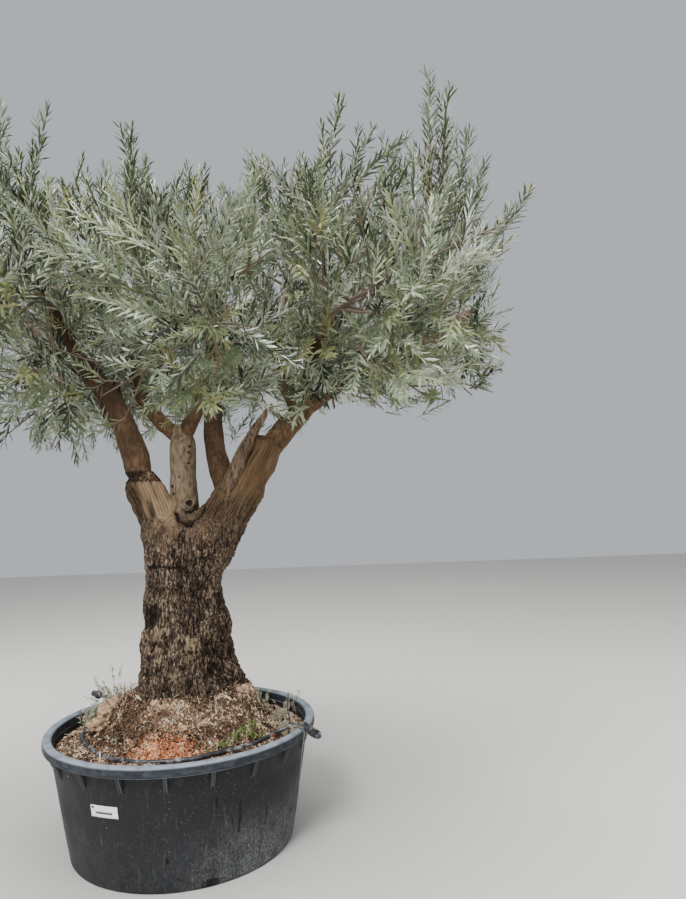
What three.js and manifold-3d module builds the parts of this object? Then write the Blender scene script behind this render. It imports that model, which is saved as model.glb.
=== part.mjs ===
// An old olive tree, pruned hard and grown on in a round black nursery pot.
// Millimetres, +Z up, the origin at the middle of the pot's flat underside.
import * as THREE from 'three';
import { mergeVertices } from 'three/addons/utils/BufferGeometryUtils.js';
import Module from 'manifold-3d';

const wasm = await Module();
wasm.setup();

// Driving sizes of the pot
const RIM_RADIUS = 640;
const RIM_WIDTH = 44;
const RIM_HEIGHT = 48;
const RIM_ROUND = 15;
const POT_HEIGHT = 550;
const BASE_RADIUS = 522;
const BASE_ROUND = 14;
const WALL = 9;
const FLOOR = 10;
const POT_SIDES = 36;
const RIBS = 20;
const RIB = { width: 17, height: 78, reach: 25, sink: 4, turn: Math.PI / 30 };

// Driving sizes of the soil and the drip hose
const SEAT_Z = 690;
const SEAT_RADIUS = 304;
const SEAT_SHIFT = 36;
const SOIL_EDGE_Z = 478;
const SOIL_SLOPE = [[520, 492], [455, 508], [405, 545], [350, 616]];
const HOSE_RADIUS = 10;
const FOLD = { pitch: 25, tail: 150 };
const SLEEVE = { length: 62, width: 54, height: 26 };
const COUPLING = { radius: 17, length: 56, flange: 22, collar: 16, shoulder: 20, sides: 10 };
const HOSE_STEPS = 30;
const TAIL_STEPS = 4;

// The clear gap between pieces that touch, and the space kept round a limb
const GAP = 0.3;
const CUT_GAP = 0.36;
const LIMB_ROOM = 14;
const CELL_ROOM = 9;

// Trunk sections from the flat foot to the fork: height, middle in x and y, half widths in x and y
const TRUNK_FOOT = 690.3;
const TRUNK_SECTIONS = [
  [TRUNK_FOOT, 40, 0, 278, 262],
  [745, 34, 0, 246, 238],
  [810, 26, 2, 222, 220],
  [900, 21, 4, 212, 208],
  [1020, 22, 6, 204, 200],
  [1130, 12, 6, 188, 186],
  [1240, 16, 4, 180, 180],
  [1340, 40, 2, 204, 186],
  [1440, 66, 0, 246, 190],
  [1505, 78, 0, 236, 160],
  [1540, 84, 0, 150, 96],
];
const TRUNK_SIDES = 20;
const FLUTES = 5;
const FLUTE_DEPTH = 0.075;

// Limbs: where each starts, the way it heads at its start and end (degrees), its length and radii
const LIMBS = [
  {
    name: 'left_stub', start: [-84, 0, 1400],
    azimuth: [184, 186], lean: [12, 25], length: 385, radius: [94, 92],
  },
  {
    name: 'centre_stub', start: [42, 20, 1400],
    azimuth: [170, 90], lean: [7, 2], length: 560, radius: [74, 62],
  },
  {
    name: 'right_stub', start: [166, 0, 1400],
    azimuth: [0, 0], lean: [33, 26], length: 588, radius: [108, 80],
  },
  {
    name: 'left_limb', parent: 'left_stub', at: 0.9,
    azimuth: [188, 178], lean: [8, 56], length: 880, radius: [66, 48],
  },
  {
    name: 'right_bough', parent: 'right_stub', at: 0.4,
    azimuth: [34, 6], lean: [30, 46], length: 600, radius: [68, 54],
  },
  {
    name: 'back_bough', parent: 'right_stub', at: 0.36,
    azimuth: [150, 60], lean: [30, 30], length: 880, radius: [64, 38],
  },
  {
    name: 'centre_arm', parent: 'centre_stub', at: 0.95,
    azimuth: [196, 120], lean: [58, 6], length: 560, radius: [42, 28],
  },
  {
    name: 'front_arm', parent: 'centre_stub', at: 0.96,
    azimuth: [322, 276], lean: [44, 60], length: 640, radius: [42, 26],
  },
  {
    name: 'left_front_arm', parent: 'left_limb', at: 0.5,
    azimuth: [240, 266], lean: [52, 44], length: 540, radius: [34, 24],
  },
  {
    name: 'left_back_arm', parent: 'left_limb', at: 0.36,
    azimuth: [120, 95], lean: [52, 40], length: 640, radius: [36, 24],
  },
  {
    name: 'right_up_arm', parent: 'right_bough', at: 0.95,
    azimuth: [150, 330], lean: [30, 10], length: 500, radius: [44, 30],
  },
  {
    name: 'right_out_arm', parent: 'right_bough', at: 0.96,
    azimuth: [4, 0], lean: [52, 66], length: 640, radius: [46, 30],
  },
  {
    name: 'right_front_arm', parent: 'right_bough', at: 0.86,
    azimuth: [290, 284], lean: [60, 62], length: 660, radius: [38, 26],
  },
  {
    name: 'right_back_arm', parent: 'right_bough', at: 0.88,
    azimuth: [72, 64], lean: [56, 54], length: 600, radius: [38, 26],
  },
];
const LIMB_SIDES = 9;
const ARM_SIDES = 6;
const STOUT_RADIUS = 50;
const LIMB_STEPS = 5;
const SLIVER = { base: [268, -34, 1600], tip: [452, -20, 2058], radius: [40, 9], sides: 6, steps: 4 };

// Masses of foliage: the limb that feeds each, its middle, and its reach across, in depth, up and down
const MASSES = [
  {
    name: 'left_mass', limb: 'left_limb', seed: 11,
    hub: [-960, 0, 2660], reach: [560, 520, 700, 780],
  },
  {
    name: 'left_front_mass', limb: 'left_front_arm', seed: 23,
    hub: [-600, -640, 2500], reach: [580, 520, 460, 640],
  },
  {
    name: 'left_back_mass', limb: 'left_back_arm', seed: 37,
    hub: [-480, 700, 2640], reach: [580, 560, 700, 740],
  },
  {
    name: 'centre_mass', limb: 'centre_arm', seed: 41,
    hub: [-140, 60, 2700], reach: [440, 400, 660, 700],
  },
  {
    name: 'front_mass', limb: 'front_arm', seed: 53,
    hub: [210, -700, 2420], reach: [560, 520, 460, 580],
  },
  {
    name: 'back_mass', limb: 'back_bough', seed: 67,
    hub: [240, 780, 2640], reach: [560, 560, 680, 740],
  },
  {
    name: 'right_top_mass', limb: 'right_up_arm', seed: 71,
    hub: [600, 30, 2780], reach: [460, 420, 600, 640],
  },
  {
    name: 'right_mass', limb: 'right_out_arm', seed: 83,
    hub: [1330, 90, 2640], reach: [500, 540, 680, 720],
  },
  {
    name: 'right_front_mass', limb: 'right_front_arm', seed: 97,
    hub: [1000, -680, 2460], reach: [580, 520, 540, 600],
  },
  {
    name: 'right_back_mass', limb: 'right_back_arm', seed: 101,
    hub: [960, 780, 2560], reach: [600, 560, 680, 680],
  },
];

// The tips of the shoots that stand above the rest: each grows from the mass whose space it is in
const LEADERS = [
  [-871, -40, 3720], [-650, 10, 3700], [-282, 120, 3650], [-1300, 80, 3440],
  [-144, -30, 3430], [114, 60, 3345], [400, 60, 3390], [737, 20, 3380],
  [894, 0, 3715], [1039, 60, 3550], [1346, 20, 3890], [1456, 90, 3780],
  [1549, 20, 3530], [1646, 60, 3395], [1850, 40, 3170], [1700, 120, 2450],
  [-700, -760, 3080], [-380, -620, 3010], [300, -820, 2900], [1080, -700, 3060], [1380, -600, 2900],
  [-660, 860, 3440], [-250, 720, 3500], [240, 940, 3400], [560, 760, 3480],
  [1000, 860, 3420], [1380, 800, 3240],
];

// The growth rule: where twigs leave the one below them and leaves leave a twig, as shares of its length
const GOLDEN_TURN = 2.39996;
const STEM = { radius: [26, 16], sides: 5, steps: 3 };
const SHOOTS = 8;
const SHOOT = {
  radius: 11, lowest: -0.85, highest: 0.85, from: [0.3, 0.95], lift: -0.1, leaf: 0.9, pairs: [0.76, 0.5],
};
const SIDE = { radius: 9, length: 330, angle: 0.8, rise: 0.28, from: [0.35, 0.65], leaf: 0.75, pairs: [0.5] };
const LEADER = { radius: 9, rise: 0.6, from: 0.98, step: 0.07, lift: 0.1, leaf: 0.93, pairs: [0.8, 0.62] };
const LEAF = {
  length: 290, width: 76, thickness: 12, spread: 0.66, sink: 2, room: 30, stagger: 0.04, last: 0.85,
};
const TWIG_SIDES = 3;

const UP = new THREE.Vector3(0, 0, 1);

function material(name, color, roughness) {
  return new THREE.MeshStandardMaterial({ name, color, roughness, metalness: 0 });
}

const plastic = material('black moulded plastic', 0x3a3d42, 0.6);
const earth = material('red earth', 0x8c5b3d, 1);
const bark = material('olive bark', 0x6b6055, 0.95);
const wood = material('weathered wood', 0x9a7f63, 0.9);
const pipe = material('polyethylene pipe', 0x2c2e31, 0.5);
const foliage = material('olive foliage', 0x808b6b, 0.7);

// Closed solids and meshes

function welded(geometry, tolerance) {
  const bare = geometry.clone();
  bare.deleteAttribute('normal');
  bare.deleteAttribute('uv');
  return mergeVertices(bare, tolerance);
}

function solid(geometry) {
  const shell = welded(geometry, 1e-3);
  return new wasm.Manifold(new wasm.Mesh({
    numProp: 3,
    vertProperties: new Float32Array(shell.attributes.position.array),
    triVerts: new Uint32Array(shell.index.array),
  }));
}

// Keeps the largest closed body: loose scraps and sealed hollows left by a join are dropped
function mainBody(shape) {
  const bodies = shape.decompose();
  return bodies.reduce((best, body) => (body.volume() > best.volume() ? body : best));
}

function mesh(name, shape, look) {
  const { vertProperties, triVerts } = shape.getMesh();
  const geometry = new THREE.BufferGeometry();
  geometry.setAttribute('position', new THREE.BufferAttribute(vertProperties, 3));
  geometry.setIndex(new THREE.BufferAttribute(triVerts, 1));
  const piece = new THREE.Mesh(geometry, look);
  piece.name = name;
  return piece;
}

// A closed cylinder whose rings are set by a function of the share of its length and the turn
function ringed(sides, steps, pointed, place) {
  const geometry = welded(new THREE.CylinderGeometry(pointed ? 0 : 1, 1, 1, sides, steps), 1e-4);
  const position = geometry.attributes.position;
  for (let i = 0; i < position.count; i += 1) {
    const ring = Math.round((position.getY(i) + 0.5) * steps);
    const turn = Math.atan2(position.getX(i), position.getZ(i));
    const out = Math.hypot(position.getX(i), position.getZ(i)) > 0 ? 1 : 0;
    const spot = place(ring, turn, out);
    position.setXYZ(i, spot.x, spot.y, spot.z);
  }
  return geometry;
}

// A limb or twig along a curve, its radius given by a function of the share of its length
function bent(curve, sides, steps, radiusAt, extra = 0) {
  const { tangents, normals, binormals } = curve.computeFrenetFrames(steps, false);
  const pointed = radiusAt(1) === 0;
  return ringed(sides, steps, pointed, (ring, turn, out) => {
    const share = ring / steps;
    const spot = curve.getPointAt(share);
    const radius = (radiusAt(share, turn) + extra) * out;
    spot.addScaledVector(normals[ring], Math.cos(turn) * radius);
    spot.addScaledVector(binormals[ring], Math.sin(turn) * radius);
    const end = (ring === steps ? extra : 0) - (ring === 0 ? extra : 0);
    return spot.addScaledVector(tangents[ring], end);
  });
}

// Pot

function arcPoints(x, z, radius, from, to, steps) {
  const arc = new THREE.EllipseCurve(x, z, radius, radius, from, to);
  return arc.getPoints(steps);
}

function wallRadius(z) {
  const top = RIM_RADIUS - RIM_WIDTH + WALL;
  return THREE.MathUtils.lerp(BASE_RADIUS, top, z / (POT_HEIGHT - RIM_HEIGHT));
}

function potProfile() {
  const half = Math.PI / 2;
  const rimInner = RIM_RADIUS - RIM_WIDTH;
  const rimFoot = POT_HEIGHT - RIM_HEIGHT;
  const point = (x, z) => new THREE.Vector2(x, z);
  return [
    point(0, 0),
    ...arcPoints(BASE_RADIUS - BASE_ROUND, BASE_ROUND, BASE_ROUND, -half, 0, 1),
    point(wallRadius(rimFoot), rimFoot),
    ...arcPoints(RIM_RADIUS - RIM_ROUND, rimFoot + RIM_ROUND, RIM_ROUND, -half, 0, 1),
    ...arcPoints(RIM_RADIUS - RIM_ROUND, POT_HEIGHT - RIM_ROUND, RIM_ROUND, 0, half, 2),
    ...arcPoints(rimInner + RIM_ROUND, POT_HEIGHT - RIM_ROUND, RIM_ROUND, half, 2 * half, 2),
    point(rimInner, rimFoot),
    point(BASE_RADIUS - WALL, FLOOR),
    point(0, FLOOR),
  ];
}

function turned(profile) {
  return solid(new THREE.LatheGeometry(profile, POT_SIDES).rotateX(Math.PI / 2));
}

// A gusset under the rim: its foot runs out on the wall
function rib(index) {
  const top = POT_HEIGHT - RIM_HEIGHT + RIB.sink;
  const foot = top - RIB.height;
  const outline = new THREE.Shape();
  outline.moveTo(wallRadius(top) - WALL / 2, top);
  outline.lineTo(wallRadius(top) + RIB.reach, top);
  outline.lineTo(wallRadius(top) + RIB.reach, top - RIB.reach);
  outline.lineTo(wallRadius(foot) + RIB.sink / 2, foot);
  outline.lineTo(wallRadius(foot) - WALL / 2, foot);
  const geometry = new THREE.ExtrudeGeometry(outline, { depth: RIB.width, bevelEnabled: false });
  geometry.translate(0, 0, -RIB.width / 2);
  geometry.rotateX(Math.PI / 2);
  geometry.rotateZ(index * 2 * Math.PI / RIBS + RIB.turn);
  return solid(geometry);
}

function makePot() {
  let pot = turned(potProfile());
  for (let index = 0; index < RIBS; index += 1) {
    pot = pot.add(rib(index));
  }
  return mainBody(pot);
}

// Soil, heaped up round the foot of the trunk

function makeSoil() {
  const clear = (z) => THREE.MathUtils.mapLinear(z, FLOOR, POT_HEIGHT - RIM_HEIGHT,
    BASE_RADIUS - WALL, RIM_RADIUS - RIM_WIDTH) - CUT_GAP;
  const point = (x, z) => new THREE.Vector2(x, z);
  const profile = [
    point(0, FLOOR + GAP),
    point(clear(FLOOR) - GAP, FLOOR + GAP),
    point(clear(SOIL_EDGE_Z), SOIL_EDGE_Z),
    ...SOIL_SLOPE.map(([x, z]) => point(x, z)),
    point(SEAT_RADIUS, SEAT_Z),
    point(0, SEAT_Z),
  ];
  const geometry = new THREE.LatheGeometry(profile, POT_SIDES).rotateX(Math.PI / 2);
  const position = geometry.attributes.position;
  for (let i = 0; i < position.count; i += 1) {
    const height = position.getZ(i) - SOIL_EDGE_Z;
    const shift = Math.max(0, height) / (SEAT_Z - SOIL_EDGE_Z) * SEAT_SHIFT;
    position.setX(i, position.getX(i) + shift);
  }
  return solid(geometry);
}

// Trunk and limbs

function trunkGeometry(extra) {
  const middle = new THREE.CatmullRomCurve3(TRUNK_SECTIONS.map(([z, x, y]) => new THREE.Vector3(x, y, z)));
  const widths = new THREE.CatmullRomCurve3(TRUNK_SECTIONS.map(([, , , x, y]) => new THREE.Vector3(x, y, 0)));
  const steps = TRUNK_SECTIONS.length - 1;
  return ringed(TRUNK_SIDES, steps, false, (ring, turn, out) => {
    const share = ring / steps;
    const spot = middle.getPoint(share);
    const half = widths.getPoint(share);
    const flute = 1 + FLUTE_DEPTH * Math.sin(FLUTES * turn + 3 * share) * (1 - 0.5 * share);
    spot.x += (half.x * flute + extra) * Math.cos(turn) * out;
    spot.y += (half.y * flute + extra) * Math.sin(turn) * out;
    spot.z += ring === steps ? extra : 0;
    return spot;
  });
}

function heading(azimuth, lean) {
  const turn = THREE.MathUtils.degToRad(azimuth);
  const tilt = THREE.MathUtils.degToRad(lean);
  return new THREE.Vector3(Math.sin(tilt) * Math.cos(turn), Math.sin(tilt) * Math.sin(turn), Math.cos(tilt));
}

// A limb's middle line: even steps whose heading turns steadily from the first to the last
function limbPoints(limb, start) {
  const points = [start];
  for (let step = 0; step < LIMB_STEPS; step += 1) {
    const share = (step + 0.5) / LIMB_STEPS;
    const azimuth = THREE.MathUtils.lerp(...limb.azimuth, share);
    const way = heading(azimuth, THREE.MathUtils.lerp(...limb.lean, share));
    points.push(points[step].clone().addScaledVector(way, limb.length / LIMB_STEPS));
  }
  return points;
}

function pointAlong(points, share) {
  const place = share * (points.length - 1);
  const step = Math.min(Math.floor(place), points.length - 2);
  return points[step].clone().lerp(points[step + 1], place - step);
}

function growLimbs() {
  const grown = new Map();
  for (const limb of LIMBS) {
    const start = limb.parent
      ? pointAlong(grown.get(limb.parent).points, limb.at)
      : new THREE.Vector3(...limb.start);
    const points = limbPoints(limb, start);
    const tip = points[LIMB_STEPS];
    const way = tip.clone().sub(points[LIMB_STEPS - 1]).normalize();
    grown.set(limb.name, { ...limb, points, tip, way });
  }
  return grown;
}

function limbGeometry(limb, extra = 0) {
  const curve = new THREE.CatmullRomCurve3(limb.points);
  const sides = limb.radius[0] > STOUT_RADIUS ? LIMB_SIDES : ARM_SIDES;
  return bent(curve, sides, LIMB_STEPS, (share) => THREE.MathUtils.lerp(...limb.radius, share), extra);
}

// Each limb is cut clear of the trunk and of every limb before it
function makeLimbs(limbs) {
  const cutters = [solid(trunkGeometry(CUT_GAP))];
  const pieces = [mesh('trunk', solid(trunkGeometry(0)), bark)];
  for (const limb of limbs.values()) {
    let shape = solid(limbGeometry(limb));
    for (const cutter of cutters) {
      shape = shape.subtract(cutter);
    }
    cutters.push(solid(limbGeometry(limb, CUT_GAP)));
    pieces.push(mesh(limb.name, mainBody(shape), bark));
  }
  let sliver = solid(sliverGeometry());
  for (const cutter of cutters) {
    sliver = sliver.subtract(cutter);
  }
  pieces.push(mesh('dead_sliver', mainBody(sliver), wood));
  return pieces;
}

// A splinter of dead wood that stands off the big cut limb
function sliverGeometry() {
  const line = new THREE.LineCurve3(new THREE.Vector3(...SLIVER.base), new THREE.Vector3(...SLIVER.tip));
  return bent(line, SLIVER.sides, SLIVER.steps, (share) => THREE.MathUtils.lerp(...SLIVER.radius, share));
}

// Foliage

function randomFrom(seed) {
  let state = seed;
  return () => {
    state = (Math.imul(state, 1664525) + 1013904223) >>> 0;
    return state / 4294967296;
  };
}

// A mass keeps to the points that are nearer to its middle than to any other mass's, less a clear strip
function insideCell(mass, point) {
  const own = new THREE.Vector3(...mass.hub);
  return MASSES.every((other) => {
    if (other === mass) {
      return true;
    }
    const way = new THREE.Vector3(...other.hub).sub(own);
    const half = way.length() / 2;
    return point.clone().sub(own).dot(way.normalize()) < half - CELL_ROOM;
  });
}

function clearOfLimbs(limbs, point, room) {
  const segment = new THREE.Line3();
  const nearest = new THREE.Vector3();
  for (const limb of limbs.values()) {
    for (let step = 0; step < LIMB_STEPS; step += 1) {
      segment.set(limb.points[step], limb.points[step + 1]);
      segment.closestPointToPoint(point, true, nearest);
      const radius = THREE.MathUtils.lerp(...limb.radius, step / LIMB_STEPS);
      if (nearest.distanceTo(point) < radius + room) {
        return false;
      }
    }
  }
  return true;
}

function fits(mass, limbs, curve, room) {
  for (let share = 0; share <= 1; share += 0.125) {
    const point = curve.getPoint(share);
    if (!insideCell(mass, point) || !clearOfLimbs(limbs, point, room)) {
      return false;
    }
  }
  return true;
}

function crowded(leaves, line) {
  const nearest = new THREE.Vector3();
  return [0.4, 0.6, 0.8, 1].some((share) => {
    const point = line.getPoint(share);
    return leaves.some((leaf) => {
      leaf.closestPointToPoint(point, true, nearest);
      return nearest.distanceTo(point) < LEAF.room;
    });
  });
}

// A direction at the given angle to another, turned round it, and lifted a little
function branchedWay(way, turn, angle, rise) {
  const helper = Math.abs(way.z) > 0.9 ? new THREE.Vector3(1, 0, 0) : UP;
  const across = new THREE.Vector3().crossVectors(way, helper);
  across.normalize().applyAxisAngle(way, turn);
  return way.clone().multiplyScalar(Math.cos(angle)).addScaledVector(across, Math.sin(angle))
    .addScaledVector(UP, rise).normalize();
}

function rising(root, tip, lift) {
  const middle = root.clone().lerp(tip, 0.5);
  middle.z -= (tip.z - root.z) * lift;
  return new THREE.QuadraticBezierCurve3(root, middle, tip);
}

function leafSolid(root, way, roll) {
  const geometry = new THREE.OctahedronGeometry(1);
  geometry.scale(LEAF.width / 2, LEAF.length / 2, LEAF.thickness / 2);
  geometry.translate(0, LEAF.length / 2 - LEAF.sink, 0);
  const side = new THREE.Vector3().crossVectors(way, UP).normalize().applyAxisAngle(way, roll);
  const face = new THREE.Vector3().crossVectors(side, way);
  geometry.applyMatrix4(new THREE.Matrix4().makeBasis(side, way, face).setPosition(root));
  return solid(geometry);
}

function growMass(mass, limbs) {
  const random = randomFrom(mass.seed);
  const limb = limbs.get(mass.limb);
  const hub = new THREE.Vector3(...mass.hub);
  const foot = limb.tip.clone().addScaledVector(limb.way, CUT_GAP);
  const knee = foot.clone().addScaledVector(limb.way, foot.distanceTo(hub) / 2);
  const stem = new THREE.QuadraticBezierCurve3(foot, knee, hub);
  const stemRadius = (share) => THREE.MathUtils.lerp(...STEM.radius, share);
  const parts = [solid(bent(stem, STEM.sides, STEM.steps, stemRadius))];
  const leaves = [];

  const twig = (curve, radius, steps) => {
    if (!fits(mass, limbs, curve, radius + LIMB_ROOM)) {
      return false;
    }
    parts.push(solid(bent(curve, TWIG_SIDES, steps, (share) => radius * (1 - share))));
    return true;
  };
  const leaf = (root, way) => {
    const line = new THREE.LineCurve3(root, root.clone().addScaledVector(way, LEAF.length - LEAF.sink));
    if (!fits(mass, limbs, line, LIMB_ROOM + LEAF.width / 2) || crowded(leaves, line)) {
      return;
    }
    leaves.push(new THREE.Line3(line.getPoint(0.25), line.v2));
    parts.push(leafSolid(root, way, leaves.length * GOLDEN_TURN));
  };
  const pairs = (curve, shares, turns) => {
    shares.forEach((share, index) => {
      const way = curve.getTangent(share);
      const turn = turns[index];
      leaf(curve.getPoint(share), branchedWay(way, turn, LEAF.spread, 0));
      leaf(curve.getPoint(share - LEAF.stagger), branchedWay(way, turn + Math.PI, LEAF.spread, 0));
    });
  };

  const tips = LEADERS.map((tip) => new THREE.Vector3(...tip)).filter((tip) => insideCell(mass, tip));
  tips.forEach((tip, index) => {
    const way = tip.clone().sub(hub).normalize().addScaledVector(UP, LEADER.rise).normalize();
    const end = tip.addScaledVector(way, -LEAF.length * LEAF.last);
    const curve = rising(stem.getPoint(LEADER.from - LEADER.step * index), end, LEADER.lift);
    if (twig(curve, LEADER.radius, 3)) {
      leaf(curve.getPoint(LEADER.leaf), way);
      pairs(curve, LEADER.pairs, [index * GOLDEN_TURN, (index + 1) * GOLDEN_TURN]);
    }
  });

  for (let index = 0; index < SHOOTS; index += 1) {
    const level = index / (SHOOTS - 1);
    const turn = index * GOLDEN_TURN + random() * 0.6;
    const height = THREE.MathUtils.lerp(SHOOT.lowest, SHOOT.highest, level);
    const out = Math.sqrt(1 - height * height) * (0.85 + 0.3 * random());
    const [across, deep, rise, drop] = mass.reach;
    const tip = hub.clone();
    tip.x += across * out * Math.cos(turn);
    tip.y += deep * out * Math.sin(turn);
    tip.z += (height > 0 ? rise : drop) * height;
    while (!insideCell(mass, tip)) {
      tip.lerp(hub, 0.1);
    }
    const curve = rising(stem.getPoint(THREE.MathUtils.lerp(...SHOOT.from, level)), tip, SHOOT.lift);
    const sideShare = THREE.MathUtils.lerp(...SIDE.from, random());
    const sideLength = SIDE.length * (0.8 + 0.4 * random());
    if (!twig(curve, SHOOT.radius, 2)) {
      continue;
    }
    leaf(curve.getPoint(SHOOT.leaf), curve.getTangent(1));
    pairs(curve, SHOOT.pairs, [turn, turn + 1]);
    const root = curve.getPoint(sideShare);
    const way = branchedWay(curve.getTangent(sideShare), turn, SIDE.angle, SIDE.rise);
    const branch = new THREE.LineCurve3(root, root.clone().addScaledVector(way, sideLength));
    if (index % 2 === 0 && twig(branch, SIDE.radius, 1)) {
      leaf(branch.getPoint(SIDE.leaf), way);
      pairs(branch, SIDE.pairs, [turn]);
    }
  }
  return mainBody(wasm.Manifold.union(parts));
}

// Drip hose: over the rim at the back, round the heap of soil and out over the rim in front

function hoseRoute() {
  return [
    [-574, 466, 560], [-500, 404, 559], [-440, 348, 548], [-425, 270, 526], [-458, 170, 510],
    [-484, 60, 506], [-474, -60, 508], [-438, -150, 511], [-388, -229, 513], [-306, -336, 513],
    [-219, -406, 511], [-80, -459, 511], [26, -462, 512], [136, -443, 512], [212, -404, 514],
    [282, -358, 515], [346, -311, 512], [408, -238, 512], [448, -184, 516], [486, -160, 528],
    [538, -160, 550], [584, -204, 560], [622, -262, 560], [654, -322, 553],
  ].map((point) => new THREE.Vector3(...point));
}

function tube(path, steps) {
  const section = new THREE.Shape();
  section.absarc(0, 0, HOSE_RADIUS, 0, 2 * Math.PI);
  return new THREE.ExtrudeGeometry(section, { steps, curveSegments: 3, extrudePath: path });
}

function capsule(width, height, length) {
  const outline = new THREE.Shape();
  outline.absarc((width - height) / 2, 0, height / 2, -Math.PI / 2, Math.PI / 2);
  outline.absarc((height - width) / 2, 0, height / 2, Math.PI / 2, 1.5 * Math.PI);
  return new THREE.ExtrudeGeometry(outline, { depth: length, curveSegments: 4, bevelEnabled: false });
}

function makeHose(pot, soil) {
  const route = new THREE.CatmullRomCurve3(hoseRoute());
  const rest = [pot.translate([0, 0, GAP]), soil.translate([0, 0, GAP])];
  const laid = (shape) => mainBody(rest.reduce((left, cutter) => left.subtract(cutter), shape));
  const end = route.getPoint(1);
  const way = route.getTangent(1);
  const across = new THREE.Vector3().crossVectors(way, UP).normalize();
  const over = new THREE.Vector3().crossVectors(across, way);

  const sleeve = capsule(SLEEVE.width, SLEEVE.height, SLEEVE.length);
  const middle = end.clone().addScaledVector(across, -FOLD.pitch / 2).addScaledVector(way, GAP);
  sleeve.applyMatrix4(new THREE.Matrix4().makeBasis(across, over.negate(), way).setPosition(middle));

  const tailEnd = end.clone().addScaledVector(across, -FOLD.pitch);
  const tail = new THREE.LineCurve3(tailEnd, tailEnd.clone().addScaledVector(way, -FOLD.tail));

  const coupling = new THREE.LatheGeometry([
    new THREE.Vector2(0, 0),
    new THREE.Vector2(COUPLING.flange, 0),
    new THREE.Vector2(COUPLING.flange, COUPLING.collar),
    new THREE.Vector2(COUPLING.radius, COUPLING.shoulder),
    new THREE.Vector2(COUPLING.radius, COUPLING.length),
    new THREE.Vector2(0, COUPLING.length),
  ], COUPLING.sides);
  const out = route.getTangent(0).negate();
  const seat = route.getPoint(0).addScaledVector(out, GAP);
  coupling.applyQuaternion(new THREE.Quaternion().setFromUnitVectors(new THREE.Vector3(0, 1, 0), out));
  coupling.translate(seat.x, seat.y, seat.z);

  return [
    mesh('drip_hose', laid(solid(tube(route, HOSE_STEPS))), pipe),
    mesh('hose_tail', laid(solid(tube(tail, TAIL_STEPS))), pipe),
    mesh('hose_sleeve', laid(solid(sleeve)), pipe),
    mesh('hose_coupling', laid(solid(coupling)), pipe),
  ];
}

const pot = makePot();
const soil = makeSoil();
const limbs = growLimbs();
const tree = new THREE.Group();
tree.add(mesh('pot', pot, plastic));
tree.add(mesh('soil', soil, earth));
tree.add(...makeLimbs(limbs));
tree.add(...makeHose(pot, soil));
for (const mass of MASSES) {
  tree.add(mesh(mass.name, growMass(mass, limbs), foliage));
}

export default tree;
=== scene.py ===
"""An old olive tree in a round black nursery pot, dressed round the frame of its solids.

Metres, +Z up, the origin at the middle of the pot's flat underside. The trunk and boughs get a mesh with
the bark's relief. Every mass of foliage is grown again by the rule of its solid, carried to finer twigs
and to leaves of life size. The soil, its litter, the pot, its label and the drip pipe are modelled.
"""

import functools
import math

import bmesh
import bpy
import numpy as np
from mathutils import Matrix, Quaternion, Vector, kdtree, noise


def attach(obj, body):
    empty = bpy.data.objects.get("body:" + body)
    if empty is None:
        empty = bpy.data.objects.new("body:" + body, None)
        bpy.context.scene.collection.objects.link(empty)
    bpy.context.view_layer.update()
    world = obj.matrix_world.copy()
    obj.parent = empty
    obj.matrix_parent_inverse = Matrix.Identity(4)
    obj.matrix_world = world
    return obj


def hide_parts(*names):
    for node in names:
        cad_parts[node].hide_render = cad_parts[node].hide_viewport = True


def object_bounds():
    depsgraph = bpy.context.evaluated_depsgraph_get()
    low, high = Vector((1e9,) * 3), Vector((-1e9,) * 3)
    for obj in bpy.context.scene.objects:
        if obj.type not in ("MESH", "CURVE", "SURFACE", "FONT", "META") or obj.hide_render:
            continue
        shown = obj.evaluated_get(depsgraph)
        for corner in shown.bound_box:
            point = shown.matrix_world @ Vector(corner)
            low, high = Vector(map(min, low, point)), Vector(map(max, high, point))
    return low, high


bl_info = {
    "name": "Potted olive tree",
    "version": (1, 0, 0),
    "blender": (4, 5, 0),
    "location": "View3D > Sidebar > Olive tree",
    "description": "Dresses the frame of an old olive tree in a nursery pot",
    "category": "Object",
}

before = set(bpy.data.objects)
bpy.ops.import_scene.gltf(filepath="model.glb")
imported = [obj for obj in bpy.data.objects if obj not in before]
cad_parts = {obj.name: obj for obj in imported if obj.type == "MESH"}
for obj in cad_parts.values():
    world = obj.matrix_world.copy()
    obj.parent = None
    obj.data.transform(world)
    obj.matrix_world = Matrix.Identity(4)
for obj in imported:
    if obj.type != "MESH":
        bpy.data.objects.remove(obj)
CAD_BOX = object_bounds()

UP = Vector((0, 0, 1))

# The photo's view: its height in pixels, its camera's place, tilt and lean, its lens in pixels
IMAGE_HEIGHT = 899
CAMERA_PLACE = Vector((0.8276, -3.5417, 1.5866))
CAMERA_TILT = math.radians(4.15)
CAMERA_LEAN = math.radians(-2.04)
CAMERA_FOCUS = 706.3
SENSOR = 36

# Pot
RIM_RADIUS = 0.640
RIM_WIDTH = 0.044
RIM_HEIGHT = 0.048
RIM_ROUND = 0.015
POT_HEIGHT = 0.550
BASE_RADIUS = 0.522
BASE_ROUND = 0.014
WALL = 0.009
FLOOR = 0.010
RIBS = 20
RIB_TURN = math.pi / 30
RIB_WIDTH = 0.017
RIB_HEIGHT = 0.078
RIB_REACH = 0.025
RIB_WALL = 0.0042
RIB_BEVEL = 0.0012

# Soil, as radius and height from the pot's wall up to the trunk's foot
SOIL_LINE = [
    (0.0, 0.722), (0.240, 0.716), (0.304, 0.690), (0.350, 0.616), (0.405, 0.545),
    (0.455, 0.508), (0.520, 0.492), (0.583, 0.478),
]
# The height of the trunk's foot, how far the heap leans there, and the height of the heap's edge
SEAT_Z = 0.690
SEAT_SHIFT = 0.036
SOIL_EDGE_Z = 0.478
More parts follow.
